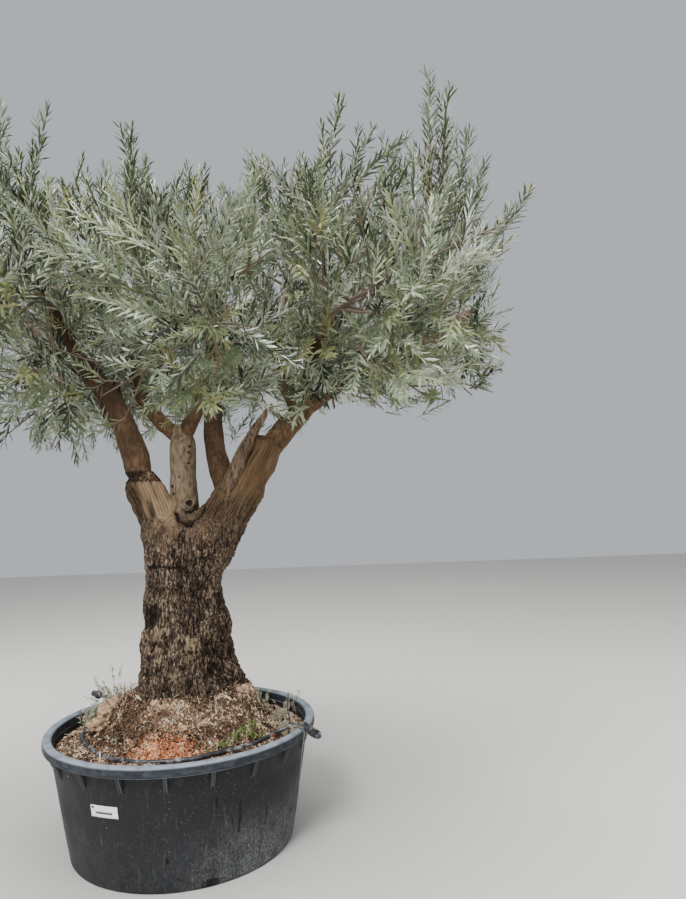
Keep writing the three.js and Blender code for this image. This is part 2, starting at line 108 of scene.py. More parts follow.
# The soil's height at its middle and underside, the radius of that side and of the flat part in the trunk
SOIL_TOP = 0.700
SOIL_BOTTOM = 0.430
SOIL_FOOT = 0.574
SOIL_CORE = 0.100
# The darker side of the heap, where the litter is dealt darker looks, and the patch of red earth at its front
DARK_LITTER_MIDDLE = (-0.190, -0.260)
DARK_LITTER_REACH = 0.110
RED_MIDDLE = (0.02, -0.415)
RED_REACH = (0.17, 0.046)

# Drip pipe
HOSE_RADIUS = 0.010
HOSE_ROUTE = [
    (-0.574, 0.466, 0.560), (-0.500, 0.404, 0.559), (-0.440, 0.348, 0.548), (-0.425, 0.270, 0.526),
    (-0.458, 0.170, 0.510), (-0.484, 0.060, 0.506), (-0.474, -0.060, 0.508), (-0.438, -0.150, 0.511),
    (-0.388, -0.229, 0.513), (-0.306, -0.336, 0.513), (-0.219, -0.406, 0.511), (-0.080, -0.459, 0.511),
    (0.026, -0.462, 0.512), (0.136, -0.443, 0.512), (0.212, -0.404, 0.514), (0.282, -0.358, 0.515),
    (0.346, -0.311, 0.512), (0.408, -0.238, 0.512), (0.448, -0.184, 0.516), (0.486, -0.160, 0.528),
    (0.538, -0.160, 0.550), (0.584, -0.204, 0.560), (0.622, -0.262, 0.560), (0.654, -0.322, 0.553),
]

# Trunk sections from the flat foot to the fork: height, middle in x and y, half widths in x and y
TRUNK_SECTIONS = [
    (0.690, 0.040, 0.000, 0.278, 0.262),
    (0.745, 0.034, 0.000, 0.246, 0.238),
    (0.810, 0.026, 0.002, 0.222, 0.220),
    (0.900, 0.021, 0.004, 0.212, 0.208),
    (1.020, 0.022, 0.006, 0.204, 0.200),
    (1.130, 0.012, 0.006, 0.188, 0.186),
    (1.240, 0.016, 0.004, 0.180, 0.180),
    (1.340, 0.040, 0.002, 0.204, 0.186),
    (1.440, 0.066, 0.000, 0.246, 0.190),
    (1.505, 0.078, 0.000, 0.236, 0.160),
    (1.540, 0.084, 0.000, 0.150, 0.096),
]
FLUTES = 5
FLUTE_DEPTH = 0.075

# Limbs: where each starts, or the limb that it leaves and the share of it, then the way it heads at its
# start and end as azimuth and lean in degrees, its length and its radii
LIMB_STEPS = 5
LIMBS = [dict(zip(("name", "start", "azimuth", "lean", "length", "radius"), row)) for row in (
    ("left_stub", (-0.084, 0, 1.4), (184, 186), (12, 25), 0.385, (0.094, 0.092)),
    ("centre_stub", (0.042, 0.020, 1.4), (170, 90), (7, 2), 0.560, (0.074, 0.062)),
    ("right_stub", (0.166, 0, 1.4), (0, 0), (33, 26), 0.588, (0.108, 0.080)),
    ("left_limb", ("left_stub", 0.9), (188, 178), (8, 56), 0.880, (0.066, 0.048)),
    ("right_bough", ("right_stub", 0.4), (34, 6), (30, 46), 0.600, (0.068, 0.054)),
    ("back_bough", ("right_stub", 0.36), (150, 60), (30, 30), 0.880, (0.064, 0.038)),
    ("centre_arm", ("centre_stub", 0.95), (196, 120), (58, 6), 0.560, (0.042, 0.028)),
    ("front_arm", ("centre_stub", 0.96), (322, 276), (44, 60), 0.640, (0.042, 0.026)),
    ("left_front_arm", ("left_limb", 0.5), (240, 266), (52, 44), 0.540, (0.034, 0.024)),
    ("left_back_arm", ("left_limb", 0.36), (120, 95), (52, 40), 0.640, (0.036, 0.024)),
    ("right_up_arm", ("right_bough", 0.95), (150, 330), (30, 10), 0.500, (0.044, 0.030)),
    ("right_out_arm", ("right_bough", 0.96), (4, 0), (52, 66), 0.640, (0.046, 0.030)),
    ("right_front_arm", ("right_bough", 0.86), (290, 284), (60, 62), 0.660, (0.038, 0.026)),
    ("right_back_arm", ("right_bough", 0.88), (72, 64), (56, 54), 0.600, (0.038, 0.026)),
)]
STUBS = ["left_stub", "centre_stub", "right_stub"]
STUB_ROUNDING = [0.22, 0.14, 0.04]
SHOULDER = [Vector((0.104, -0.070, 1.490)), Vector((0.180, -0.078, 1.590)), Vector((0.262, -0.062, 1.700))]
SHOULDER_RADIUS = (0.050, 0.034)
SLIVER_LINE = [(0.225, -0.030, 1.560), (0.300, -0.075, 1.760), (0.365, -0.070, 1.900), (0.462, -0.024, 2.062)]
SLIVER_RADIUS = (0.050, 0.011)

# Masses of foliage: the limb that feeds each, its seed, its middle, and its reach across, deep, up and down
MASSES = [dict(zip(("name", "limb", "seed", "hub", "reach"), row)) for row in (
    ("left_mass", "left_limb", 11, (-0.960, 0, 2.660), (0.560, 0.520, 0.700, 0.780)),
    ("left_front_mass", "left_front_arm", 23, (-0.600, -0.640, 2.500), (0.580, 0.520, 0.460, 0.640)),
    ("left_back_mass", "left_back_arm", 37, (-0.480, 0.700, 2.640), (0.580, 0.560, 0.700, 0.740)),
    ("centre_mass", "centre_arm", 41, (-0.140, 0.060, 2.700), (0.440, 0.400, 0.660, 0.700)),
    ("front_mass", "front_arm", 53, (0.210, -0.700, 2.420), (0.560, 0.520, 0.460, 0.580)),
    ("back_mass", "back_bough", 67, (0.240, 0.780, 2.640), (0.560, 0.560, 0.680, 0.740)),
    ("right_top_mass", "right_up_arm", 71, (0.600, 0.030, 2.780), (0.460, 0.420, 0.600, 0.640)),
    ("right_mass", "right_out_arm", 83, (1.330, 0.090, 2.640), (0.500, 0.540, 0.680, 0.720)),
    ("right_front_mass", "right_front_arm", 97, (1.000, -0.680, 2.460), (0.580, 0.520, 0.540, 0.600)),
    ("right_back_mass", "right_back_arm", 101, (0.960, 0.780, 2.560), (0.600, 0.560, 0.680, 0.680)),
)]

# The tips of the shoots that stand above the rest: each grows from the mass whose space it is in
LEADERS = [
    (-0.871, -0.040, 3.720), (-0.650, 0.010, 3.700), (-0.282, 0.120, 3.650), (-1.300, 0.080, 3.440),
    (-0.144, -0.030, 3.430), (0.114, 0.060, 3.345), (0.400, 0.060, 3.390), (0.737, 0.020, 3.380),
    (0.894, 0.000, 3.715), (1.039, 0.060, 3.550), (1.346, 0.020, 3.890), (1.456, 0.090, 3.780),
    (1.549, 0.020, 3.530), (1.646, 0.060, 3.395), (1.850, 0.040, 3.170), (1.700, 0.120, 2.450),
    (-0.700, -0.760, 3.080), (-0.380, -0.620, 3.010), (0.300, -0.820, 2.900), (1.080, -0.700, 3.060),
    (1.380, -0.600, 2.900), (-0.660, 0.860, 3.440), (-0.250, 0.720, 3.500), (0.240, 0.940, 3.400),
    (0.560, 0.760, 3.480), (1.000, 0.860, 3.420), (1.380, 0.800, 3.240),
]

# The crown's closed outline in the photo's view, on the plane through the trunk: across and height
TOP_LINE = [
    (-1.75, 2.70), (-1.50, 3.15), (-1.20, 3.36), (-0.90, 3.39), (-0.69, 3.46), (-0.48, 3.34), (-0.28, 3.36),
    (-0.07, 3.17), (0.14, 3.29), (0.35, 3.37), (0.55, 3.28), (0.76, 3.32), (0.97, 3.29), (1.18, 3.39),
    (1.34, 3.54), (1.49, 3.43), (1.59, 3.27), (1.68, 3.10), (1.90, 2.85),
]
UNDER_LINE = [
    (-1.75, 2.20), (-1.20, 1.92), (-0.90, 1.92), (-0.60, 1.84), (-0.40, 1.76), (-0.20, 1.74), (-0.10, 1.90),
    (0.10, 1.98), (0.20, 2.02), (0.34, 2.11), (0.47, 2.09), (0.51, 1.90), (0.60, 1.90), (0.70, 2.02),
    (1.23, 2.04), (1.53, 2.09), (1.84, 2.16),
]
# Its right side: height and how far across it may reach there
RIGHT_LINE = [
    (2.0, 1.50), (2.16, 1.66), (2.30, 1.74), (2.43, 1.62), (2.76, 1.68), (3.02, 1.84), (3.20, 1.70),
    (3.60, 1.62),
]
OVERSHOOT = 0.10

# The growth rule, as in the solids
GOLDEN_TURN = 2.39996
STEM_RADIUS = (0.020, 0.007)
STEM_GAP = 0.00036
SHOOTS = 8
SHOOT_LEVELS = (-0.85, 0.85)
SHOOT_FROM = (0.3, 0.95)
SHOOT_RADIUS = 0.008
SHOOT_LIFT = -0.1
SIDE_FROM = (0.35, 0.65)
SIDE_RADIUS = 0.0045
SIDE_LENGTH = 0.330
SIDE_ANGLE = 0.8
SIDE_RISE = 0.28
LEADER_RADIUS = 0.009
LEADER_RISE = 0.6
LEADER_FROM = 0.98
LEADER_STEP = 0.07
LEADER_LIFT = 0.1
LEADER_LEAF = 0.2465
CELL_ROOM = 0.009
LIMB_ROOM = 0.014

# Dark runs on the pot's wall, and at its foot the painted shade of a drain notch that the wall doesn't have:
# the turn, the heights and the half width of each
WALL_MARKS = [(-64, 0.335, 0.388, 0.007), (-53.5, 0.205, 0.348, 0.008), (-39, 0.190, 0.275, 0.006),
              (-85, 0.128, 0.162, 0.008), (-57, 0.250, 0.275, 0.007), (-66, -0.01, 0.042, 0.040)]

# The label's middle as a turn round the pot and a height, and its width and height
LABEL_TURN = math.radians(-111)
LABEL_Z = 0.3465
LABEL_WIDE = 0.135
LABEL_HIGH = 0.050
# Printed marks on the label: a square and a bar, as shares of its width and height
LABEL_MARKS = [(-0.47, -0.37, 0.22, 0.42), (-0.30, 0.30, -0.20, -0.02)]

# Lumps in the heap: across, deep, reach and rise
SOIL_LUMPS = [(-0.375, -0.060, 0.050, 0.022), (0.175, -0.320, 0.035, 0.018), (0.060, -0.330, 0.030, 0.014),
              (0.250, -0.190, 0.040, 0.018), (-0.330, 0.030, 0.040, 0.018)]

# Between which distances from the pot's middle the litter lies, and how much more of it is dark than bright
LITTER_RADII = (0.24, 0.585)
DARKER = 1.25

# Sandy lumps that lie on the heap: across, deep, and their half sizes
SAND_LUMPS = [(-0.385, -0.105, 0.046, 0.040, 0.032), (-0.360, -0.060, 0.038, 0.040, 0.036),
              (-0.335, 0.000, 0.028, 0.034, 0.034), (0.170, -0.325, 0.022, 0.018, 0.012),
              (0.312, -0.060, 0.024, 0.022, 0.020), (0.290, -0.090, 0.018, 0.016, 0.014),
              (-0.060, -0.285, 0.022, 0.018, 0.016), (-0.020, -0.300, 0.014, 0.014, 0.012),
              (0.080, -0.350, 0.026, 0.016, 0.012)]

# Small plants on the soil: across, deep, height, stalks, leaves to a stalk and leaf length
PLANTS = {
    "silvery weed": [
        (-0.450, 0.330, 0.210, 18, 24, 0.022), (-0.395, 0.260, 0.250, 20, 26, 0.022),
        (-0.440, 0.160, 0.120, 18, 20, 0.021), (-0.470, 0.060, 0.090, 16, 16, 0.020),
        (-0.400, 0.080, 0.110, 16, 18, 0.020), (-0.520, 0.190, 0.090, 16, 16, 0.020),
        (-0.500, 0.120, 0.100, 14, 16, 0.020), (-0.360, 0.330, 0.150, 14, 20, 0.022),
        (-0.215, -0.325, 0.030, 7, 7, 0.014), (-0.290, -0.260, 0.030, 6, 7, 0.014),
        (0.468, 0.045, 0.090, 14, 16, 0.018), (0.497, 0.299, 0.110, 14, 16, 0.018),
        (0.500, -0.080, 0.070, 14, 14, 0.018), (0.370, 0.120, 0.080, 12, 14, 0.018),
    ],
    "green tuft": [
        (0.245, -0.345, 0.032, 22, 3, 0.016), (0.290, -0.305, 0.038, 26, 3, 0.016),
        (0.335, -0.262, 0.044, 30, 3, 0.017), (0.376, -0.225, 0.042, 24, 3, 0.017),
        (0.200, -0.380, 0.024, 12, 3, 0.012), (0.350, -0.195, 0.036, 14, 3, 0.015),
        (-0.422, -0.125, 0.014, 5, 4, 0.014),
    ],
}

# How deep the pipe lies in the soil, and how far the soil and its litter keep from it
PIPE_SUNK = 0.005
PIPE_CLEAR = 0.014
PIPE_BANK = 0.040

# The pipe's folded end: the bend, the tail that runs back beside it and the clip round both
FOLD_PITCH = 0.025
FOLD_TAIL = 0.150
FOLD_REACH = 0.020
SLEEVE_LONG = 0.030
SLEEVE_BACK = 0.036
SLEEVE_WIDE = 0.054
SLEEVE_HIGH = 0.027
# The coupling at its other end: how far out each ring lies, and its radius
COUPLING = [(0.000, 0.016), (0.000, 0.022), (0.015, 0.022), (0.016, 0.0135), (0.020, 0.0135), (0.020, 0.017),
            (0.055, 0.017), (0.056, 0.015), (0.056, 0.011), (0.050, 0.010)]

# Pale string knotted round the pipe, with loose ends over the rim, and a dark twig stuck beside it
STRING_RADIUS = 0.0011
STRINGS = [
    [(0.548, -0.262, 0.572), (0.575, -0.270, 0.577), (0.606, -0.262, 0.552), (0.590, -0.225, 0.440),
     (0.568, -0.180, 0.262)],
    [(0.540, -0.250, 0.575), (0.580, -0.252, 0.578), (0.616, -0.240, 0.545), (0.606, -0.225, 0.470),
     (0.592, -0.210, 0.370)],
    [(0.520, -0.235, 0.562), (0.545, -0.262, 0.582), (0.560, -0.225, 0.566), (0.530, -0.215, 0.560),
     (0.522, -0.250, 0.580)],
    [(0.512, -0.215, 0.560), (0.534, -0.246, 0.580), (0.556, -0.240, 0.572), (0.548, -0.205, 0.555),
     (0.520, -0.232, 0.582)],
]
STICK = [(0.530, -0.205, 0.520), (0.536, -0.196, 0.590), (0.528, -0.186, 0.640), (0.533, -0.180, 0.705)]
STICK_RADII = (0.0044, 0.0022)

# The knot at the foot of the middle stub, and the small dark buds above it: across and height
KNOT = (0.054, 1.601)
KNOT_REACH = 0.042
SPOTS = [(0.056, 1.886), (0.054, 1.857), (0.055, 1.803), (0.006, 1.735), (-0.032, 1.688), (-0.026, 1.652)]
SPOT_RADIUS = 0.0105
# The heights between which the stubs flow into the trunk, and the rounds of smoothing that make them flow
FORK_LOW = 1.33
FORK_HIGH = 1.64
FORK_ROUNDS = 134
# Burls, of which the first two are rubbed bare: the place, the reach and the rise of each
BURLS = [
    (0.149, -0.165, 1.472, 0.022, 0.018), (0.160, -0.165, 1.430, 0.018, 0.014),
    (-0.14, -0.12, 0.93, 0.06, 0.016), (0.02, -0.19, 0.86, 0.07, 0.014),
    (0.16, -0.10, 0.84, 0.05, 0.016), (-0.05, -0.19, 1.38, 0.05, 0.010),
]
# The hollow in the trunk's left side, and the crease under the fork with its ends, both sunk and darkened
# with painted shade
HOLLOW = (-0.115, -0.140, 1.060)
CREASE_Z = 1.297
CREASE_SPAN = (-0.150, 0.080)
# The crevice under the middle stub, sunk and darkened with painted shade: across and height
CREVICE = [(-0.012, 1.560), (0.022, 1.522), (0.078, 1.504), (0.122, 1.530), (0.146, 1.574)]
# The valley that runs down from it, and the folds in the trunk below, all sunk and darkened with painted
# shade
FOLDS = [
    [(0.078, 1.500), (0.040, 1.440), (0.020, 1.360), (0.030, 1.290)],
    [(0.132, 1.180), (0.145, 1.130), (0.136, 1.060), (0.110, 1.000)],
    [(0.140, 0.940), (0.195, 0.880), (0.222, 0.800)], [(-0.085, 0.930), (-0.125, 0.860), (-0.130, 0.780)],
    [(0.010, 0.860), (0.060, 0.820), (0.070, 0.750)],
]
# Crusts of lichen on the trunk, each its middle and reach
LICHENS = [((0.085, -0.19, 0.940), 0.050), ((-0.055, -0.19, 1.000), 0.060), ((0.02, -0.2, 0.80), 0.04)]

# The part of the crown's front where the sky shows through, across and up, and how wide and high it is
OPEN_MIDDLE = (0.15, 2.76)
OPEN_REACH = (0.62, 0.42)
# The line along which the view looks past the leaves on to the left limb
LIMB_SEEN = [(-0.150, 1.780), (-0.421, 2.242)]
# The share of each kind of twig past which it bears branches, and shoots
FIRST_BRANCH = {"limb": 0.05, "stem": 0.0, "leader": 0.3, "shoot": 0.15, "side": 0.25}
FIRST_SHOOT = {"leader": 0.3, "shoot": 0.3, "side": 0.25, "branch": 0.18}
# A leaf in its own outline: six points round it, and one on the midrib of its domed upper side
LEAF_SHAPE = [
    (0, 0, 0), (0.38, 0.28, 0.0), (0.42, 0.64, -0.02), (0, 1, -0.35), (-0.42, 0.64, -0.02),
    (-0.38, 0.28, 0.0), (0, 0.46, 0.16),
]
LEAF_TOP = [(6, 0, 1), (6, 1, 2), (6, 2, 3), (6, 3, 4), (6, 4, 5), (6, 5, 0)]
LEAF_UNDER = [(0, 2, 1), (0, 3, 2), (0, 4, 3), (0, 5, 4)]
PAIRS_MOST = 30
# Each pair of leaves is turned about a quarter from the last
QUARTER_TURN = math.pi / 2 + 0.12
# How far past the solids' box a leaf may reach
LEAF_ROOM = 0.012
# The looks of the leaves, first the tops and then the undersides: colour, roughness and sheen; the shaded
# green tops and the dim undersides are painted shade
LEAF_LOOKS = [
    ("waxed leaf top, grey green", "626e4b", 0.45, 0.28),
    ("waxed leaf top, deep green", "343d2b", 0.42, 0.28),
    ("waxed leaf top, silver green", "859177", 0.46, 0.28),
    ("waxed leaf top, olive", "767a4d", 0.45, 0.28),
    ("waxed leaf top, young", "97a27f", 0.46, 0.28),
    ("waxed leaf top, shaded green", "1d2215", 0.42, 0.28),
    ("withered leaf", "7d5136", 0.7),
    ("felted leaf underside, dim", "535d46", 0.75, 0.2),
    ("felted leaf underside, grey", "7a8571", 0.75, 0.3),
    ("felted leaf underside, silver", "a2ab98", 0.75, 0.3),
    ("felted leaf underside, pale", "dae1d6", 0.70, 0.3),
    ("withered leaf underside", "94694a", 0.8, 0.3),
]
# How often a spray has each top or underside: out in the light, deep in the crown, and against the sky; the
# darker looks dealt deep in the crown and high against the sky are painted shade
TOP_SHARES = [
    [0.27, 0.21, 0.22, 0.18, 0.045, 0.071, 0.004],
    [0.19, 0.28, 0.08, 0.14, 0.02, 0.280, 0.010],
    [0.32, 0.34, 0.02, 0.22, 0.00, 0.098, 0.002],
]
UNDER_SHARES = [[0.00, 0.42, 0.41, 0.17], [0.10, 0.56, 0.23, 0.11], [0.70, 0.28, 0.02, 0.00]]
WITHERED = 6
# A rough box, the shape of a bit of litter
BOX_SHAPE = [(-0.5, -0.5, -0.5), (0.5, -0.5, -0.5), (0.42, 0.5, -0.5), (-0.42, 0.5, -0.5),
             (-0.45, -0.4, 0.5), (0.45, -0.5, 0.5), (0.36, 0.44, 0.5), (-0.3, 0.5, 0.5)]
BOX_TRIANGLES = [(0, 2, 1), (0, 3, 2), (4, 5, 6), (4, 6, 7), (0, 1, 5), (0, 5, 4), (1, 2, 6), (1, 6, 5),
                 (2, 3, 7), (2, 7, 6), (3, 0, 4), (3, 4, 7)]
# The seed of the way the cracks in the bark wander, which is the time of day if it isn't set
CRACK_SEED = 1


def hex_colour(name, text, description):
    """A colour setting whose default is an sRGB hex value."""
    return bpy.props.FloatVectorProperty(
        name=name, description=description, subtype="COLOR", size=4, min=0, max=1, default=linear(text))


def length(name, default, description):
    """A length setting in metres."""
    return bpy.props.FloatProperty(name=name, description=description, default=default, min=0, unit="LENGTH")


def number(name, default, description):
    """A setting of how many there are of a small thing."""
    return bpy.props.IntProperty(name=name, description=description, default=default, min=0)


def linear(text):
    """An sRGB hex value as linear red, green, blue and alpha."""
    parts = [int(text[i:i + 2], 16) / 255 for i in (0, 2, 4)]
    return tuple(c / 12.92 if c <= 0.04045 else ((c + 0.055) / 1.055) ** 2.4 for c in parts) + (1.0,)


class OliveSizes(bpy.types.PropertyGroup):
    """Sizes that a user would change."""

    leaf_length: length("Leaf length", 0.073, "Length of a full-grown leaf")
    leaf_width: length("Leaf width", 0.0132, "Width of a full-grown leaf")
    pair_spacing: length("Pair spacing", 0.020, "Distance along a shoot from one pair of leaves to the next")
    branch_spacing: length("Branch spacing", 0.085, "Distance along a bough from one branch to the next")
    shoot_spacing: length("Shoot spacing", 0.036, "Distance along a branch from one leafy shoot to the next")
    shoot_length: length("Shoot length", 0.260, "Length of a leafy shoot")
    trunk_voxel: length("Trunk detail", 0.0054, "Size of the bark mesh's faces on the trunk")
    bough_voxel: length("Bough detail", 0.0080, "Size of the bark mesh's faces on the boughs")
    straws: number("Straws", 5500, "Dry stalks on the soil")
    chips: number("Chips", 12000, "Flakes of bark and wood on the soil")
    clods: number("Clods", 14000, "Crumbs of earth on the soil")
    red_clods: number("Red clods", 3600, "Crumbs of red earth at the front of the heap")
    dead_leaves: number("Dead leaves", 130, "Fallen leaves on the soil")


class OliveColours(bpy.types.PropertyGroup):
    """Colours that a user would change."""

    plastic: hex_colour("Pot", "222326", "Black pot plastic, a little bleached")
    rim: hex_colour("Rim", "434950", "The pot's worn rim")
    dust: hex_colour("Dust", "8b8983", "Dust and lime on the pot")
    paper: hex_colour("Label", "ffffff", "Paper of the label")
    pipe: hex_colour("Pipe", "25282d", "Drip pipe")
    bark: hex_colour("Bark", "675547", "Old bark")
    bark_pale: hex_colour("Pale bark", "ab9682", "Flakes of old bark that catch the light")
    # The cracks' near black bottoms are painted shade
    bark_deep: hex_colour("Bark cracks", "140d08", "The bottom of the cracks in the bark")
    fibrous: hex_colour("Fibrous bark", "54422f", "The stringy bark round the fork")
    young: hex_colour("Young bark", "54402e", "Smooth bark on the regrown limbs")
    centre: hex_colour("Grey bark", "8f7f69", "The smooth grey bark of the middle stub")
    bare: hex_colour("Bare wood", "634e38", "Wood that has lost its bark")
    lichen: hex_colour("Lichen", "a5926e", "Crusts of lichen on the trunk")
    soil: hex_colour("Soil", "6f5745", "Damp earth of the heap")
    red_soil: hex_colour("Red earth", "aa7250", "The red earth at the front of the heap")


def sizes():
    """The sizes set in the panel."""
    return bpy.context.scene.olive_sizes


def colours():
    """The colours set in the panel."""
    return bpy.context.scene.olive_colours


# Meshes and pieces

def add_piece(name, mesh, materials, replaced=()):
    """Links a mesh as a piece of the tree's one body."""
    mesh.name = name
    piece = bpy.data.objects.new(name, mesh)
    bpy.context.scene.collection.objects.link(piece)
    for material in materials:
        mesh.materials.append(material)
    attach(piece, "root")
    if replaced:
        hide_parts(*replaced)
    return piece


def mesh_from_bmesh(bm, smooth=True):
    """Closes a bmesh into a mesh whose faces point outwards."""
    bmesh.ops.recalc_face_normals(bm, faces=bm.faces)
    mesh = bpy.data.meshes.new("shape")
    bm.to_mesh(mesh)
    bm.free()
    mesh.polygons.foreach_set("use_smooth", [smooth] * len(mesh.polygons))
    return mesh


def mesh_values(items, name, width, kind=np.float64):
    """A value of each of a mesh's points or edges, as the rows of an array."""
    values = np.zeros(len(items) * width, kind)
    items.foreach_get(name, values)
    return values.reshape(-1, width)


def mesh_from_arrays(points, triangles, slots=None, smooth=False):
    """A mesh of many small things from arrays of points, triangles and material numbers."""
    mesh = bpy.data.meshes.new("shape")
    count = len(triangles)
    mesh.vertices.add(len(points))
    mesh.vertices.foreach_set("co", np.asarray(points, np.float32).ravel())
    mesh.loops.add(count * 3)
    mesh.loops.foreach_set("vertex_index", np.asarray(triangles, np.int32).ravel())
    mesh.polygons.add(count)
    mesh.polygons.foreach_set("loop_start", np.arange(0, count * 3, 3, dtype=np.int32))
    mesh.polygons.foreach_set("use_smooth", np.full(count, smooth))
    if slots is not None:
        mesh.polygons.foreach_set("material_index", np.asarray(slots, np.int32))
    mesh.update(calc_edges=True)
    return mesh


def scatter(shape, triangles, roots, frames, spans):
    """Copies of one small shape, each turned into its frame and stretched by its spans."""
    local = np.asarray(shape)[None, :, :] * spans[:, None, :]
    points = roots[:, None, :] + np.einsum("nki,nij->nkj", local, frames)
    faces = np.asarray(triangles)[None, :, :] + (np.arange(len(roots)) * len(shape))[:, None, None]
    return points.reshape(-1, 3), faces.reshape(-1, 3)


def unit(vectors):
    """Vectors of length one."""
    return vectors / np.maximum(np.linalg.norm(vectors, axis=-1, keepdims=True), 1e-9)


def frames_of(ways, faces):
    """Frames whose second axis is the way and whose third lies near the face's direction."""
    side = unit(np.cross(ways, faces))
    return np.stack([side, ways, np.cross(side, ways)], axis=1)


def tubes(lines, radii, sides):
    """Closed tubes along lines of the same number of points, as arrays of points and triangles."""
    count, steps, _ = lines.shape
    ways = unit(np.gradient(lines, axis=1))
    helper = np.where(np.abs(ways[:, :1, 2:]) > 0.8, [[[1.0, 0, 0]]], [[[0, 0, 1.0]]])
    side = unit(np.cross(ways, helper))
    other = np.cross(ways, side)
    turn = np.arange(sides) * 2 * math.pi / sides
    ring = (side[:, :, None, :] * np.cos(turn)[None, None, :, None]
            + other[:, :, None, :] * np.sin(turn)[None, None, :, None])
    points = lines[:, :, None, :] + ring * radii[:, :, None, None]
    here = (np.arange(steps - 1) * sides)[:, None] + np.arange(sides)[None, :]
    beside = (np.arange(steps - 1) * sides)[:, None] + (np.arange(sides)[None, :] + 1) % sides
    walls = np.concatenate([
        np.stack([here, here + sides, beside], axis=-1).reshape(-1, 3),
        np.stack([beside, here + sides, beside + sides], axis=-1).reshape(-1, 3),
    ])
    fan = np.array([[0, k, k + 1] for k in range(1, sides - 1)])
    top = fan[:, ::-1] + (steps - 1) * sides
    one = np.concatenate([walls, fan, top])
    faces = one[None, :, :] + (np.arange(count) * steps * sides)[:, None, None]
    return points.reshape(-1, 3), faces.reshape(-1, 3)


def joined(parts):
    """Several pairs of points and triangles as one pair."""
    points, faces, base = [], [], 0
    for some_points, some_faces in parts:
        points.append(some_points)
        faces.append(some_faces + base)
        base += len(some_points)
    return np.concatenate(points), np.concatenate(faces)


def smooth_line(points, steps):
    """The smooth line through some points, as an array of places."""
    return np.array([smooth_point(np.array(points), step / steps) for step in range(steps + 1)])


def smooth_point(points, share):
    """A point on the smooth line through some points, at a share of their number."""
    place = min(max(share, 0), 1) * (len(points) - 1)
    step = min(int(place), len(points) - 2)
    t = place - step
    before = points[max(step - 1, 0)]
    here = points[step]
    there = points[step + 1]
    after = points[min(step + 2, len(points) - 1)]
    return 0.5 * (2 * here + (there - before) * t + (2 * before - 5 * here + 4 * there - after) * t * t
                  + (3 * here - 3 * there + after - before) * t ** 3)


# Materials

# The nodes that the materials use: Blender's name, the inputs in the order of a call, the settings and the
# output that is read
NODES = {
    "object": ("ShaderNodeTexCoord", (), {}, "Object"),
    "mask": ("ShaderNodeAttribute", (), {}, "Fac"),
    "grain": ("ShaderNodeAttribute", (), {"attribute_name": "grain"}, "Vector"),
    "place": ("ShaderNodeMapping", ("Vector", "Scale", "Location"), {}, 0),
    "across": ("ShaderNodeSeparateXYZ", ("Vector",), {}, "X"),
    "height": ("ShaderNodeSeparateXYZ", ("Vector",), {}, "Z"),
    "noise": ("ShaderNodeTexNoise", ("Vector", "Scale", "Detail", "Roughness", "Distortion"), {}, 0),
    "ramp": ("ShaderNodeMapRange", ("Value", "From Min", "From Max", "To Min", "To Max"),
             {"interpolation_type": "SMOOTHSTEP"}, 0),
    "mix": ("ShaderNodeMix", (0, 6, 7), {"data_type": "RGBA"}, 2),
    "times": ("ShaderNodeMath", (0, 1), {"operation": "MULTIPLY"}, 0),
    "sum": ("ShaderNodeMath", (0, 1), {"operation": "ADD"}, 0),
    "size": ("ShaderNodeMath", (0,), {"operation": "ABSOLUTE"}, 0),
    "dot": ("ShaderNodeVectorMath", (0, 1), {"operation": "DOT_PRODUCT"}, "Value"),
    "length": ("ShaderNodeVectorMath", (0,), {"operation": "LENGTH"}, "Value"),
    "bump": ("ShaderNodeBump", ("Height", "Distance"), {}, 0),
}


def add_node(tree, kind, *values, **settings):
    """Adds a node of a kind in the table, links or sets its inputs in order, and gives its output."""
    name, inputs, fixed, output = NODES[kind]
    made = tree.nodes.new(name)
    for key, value in {**fixed, **settings}.items():
        setattr(made, key, value)
    for socket, value in zip(inputs, values):
        put(made.inputs[socket], value)
    return made.outputs[output]


def put(socket, value):
    """Links a value to a socket or sets it there, where a text is a colour."""
    if isinstance(value, bpy.types.NodeSocket):
        socket.id_data.links.new(value, socket)
    else:
        socket.default_value = linear(value) if isinstance(value, str) else value


def new_material(name, roughness, ior=1.5, specular=0.5):
    """A material, the function that adds nodes to it, and its shader's inputs."""
    material = bpy.data.materials.new(name)
    material.use_nodes = True
    shader = material.node_tree.nodes["Principled BSDF"].inputs
    shader["Roughness"].default_value = roughness
    shader["IOR"].default_value = ior
    shader["Specular IOR Level"].default_value = specular
    return material, functools.partial(add_node, material.node_tree), shader


def pattern(node, stretch, detail=3.0, roughness=0.55, distortion=0.0):
    """A noise over the object, with so many features to a metre along each axis."""
    place = node("place", node("object"), stretch)
    return node("noise", place, 1.0, detail, roughness, distortion)


def plain(name, colour, roughness, specular=0.5):
    """A material of one base colour, made once, for the many leaves, straws and chips of a joined piece."""
    if name in bpy.data.materials:
        return bpy.data.materials[name]
    material, _, shader = new_material(name, roughness, specular=specular)
    put(shader["Base Color"], colour)
    return material


def wall_mark(node, place, height, turn, low, high, wide):
    """Where a mark is on the pot's wall: round a turn in degrees, between two heights."""
    way = (math.cos(math.radians(turn)), math.sin(math.radians(turn)), 0)
    front = node("dot", place, way)
    aside = node("dot", place, (-way[1], way[0], 0))
    ragged = node("ramp", pattern(node, (90, 90, 40), 3), 0.2, 0.8, -wide / 2, wide / 2)
    away = node("size", node("sum", aside, ragged))
    upright = node("times", node("ramp", height, low, low + 0.006), node("ramp", height, high, high - 0.010))
    mark = node("times", node("ramp", away, wide, wide * 0.5), upright)
    return node("times", mark, node("ramp", front, 0, 0.1))


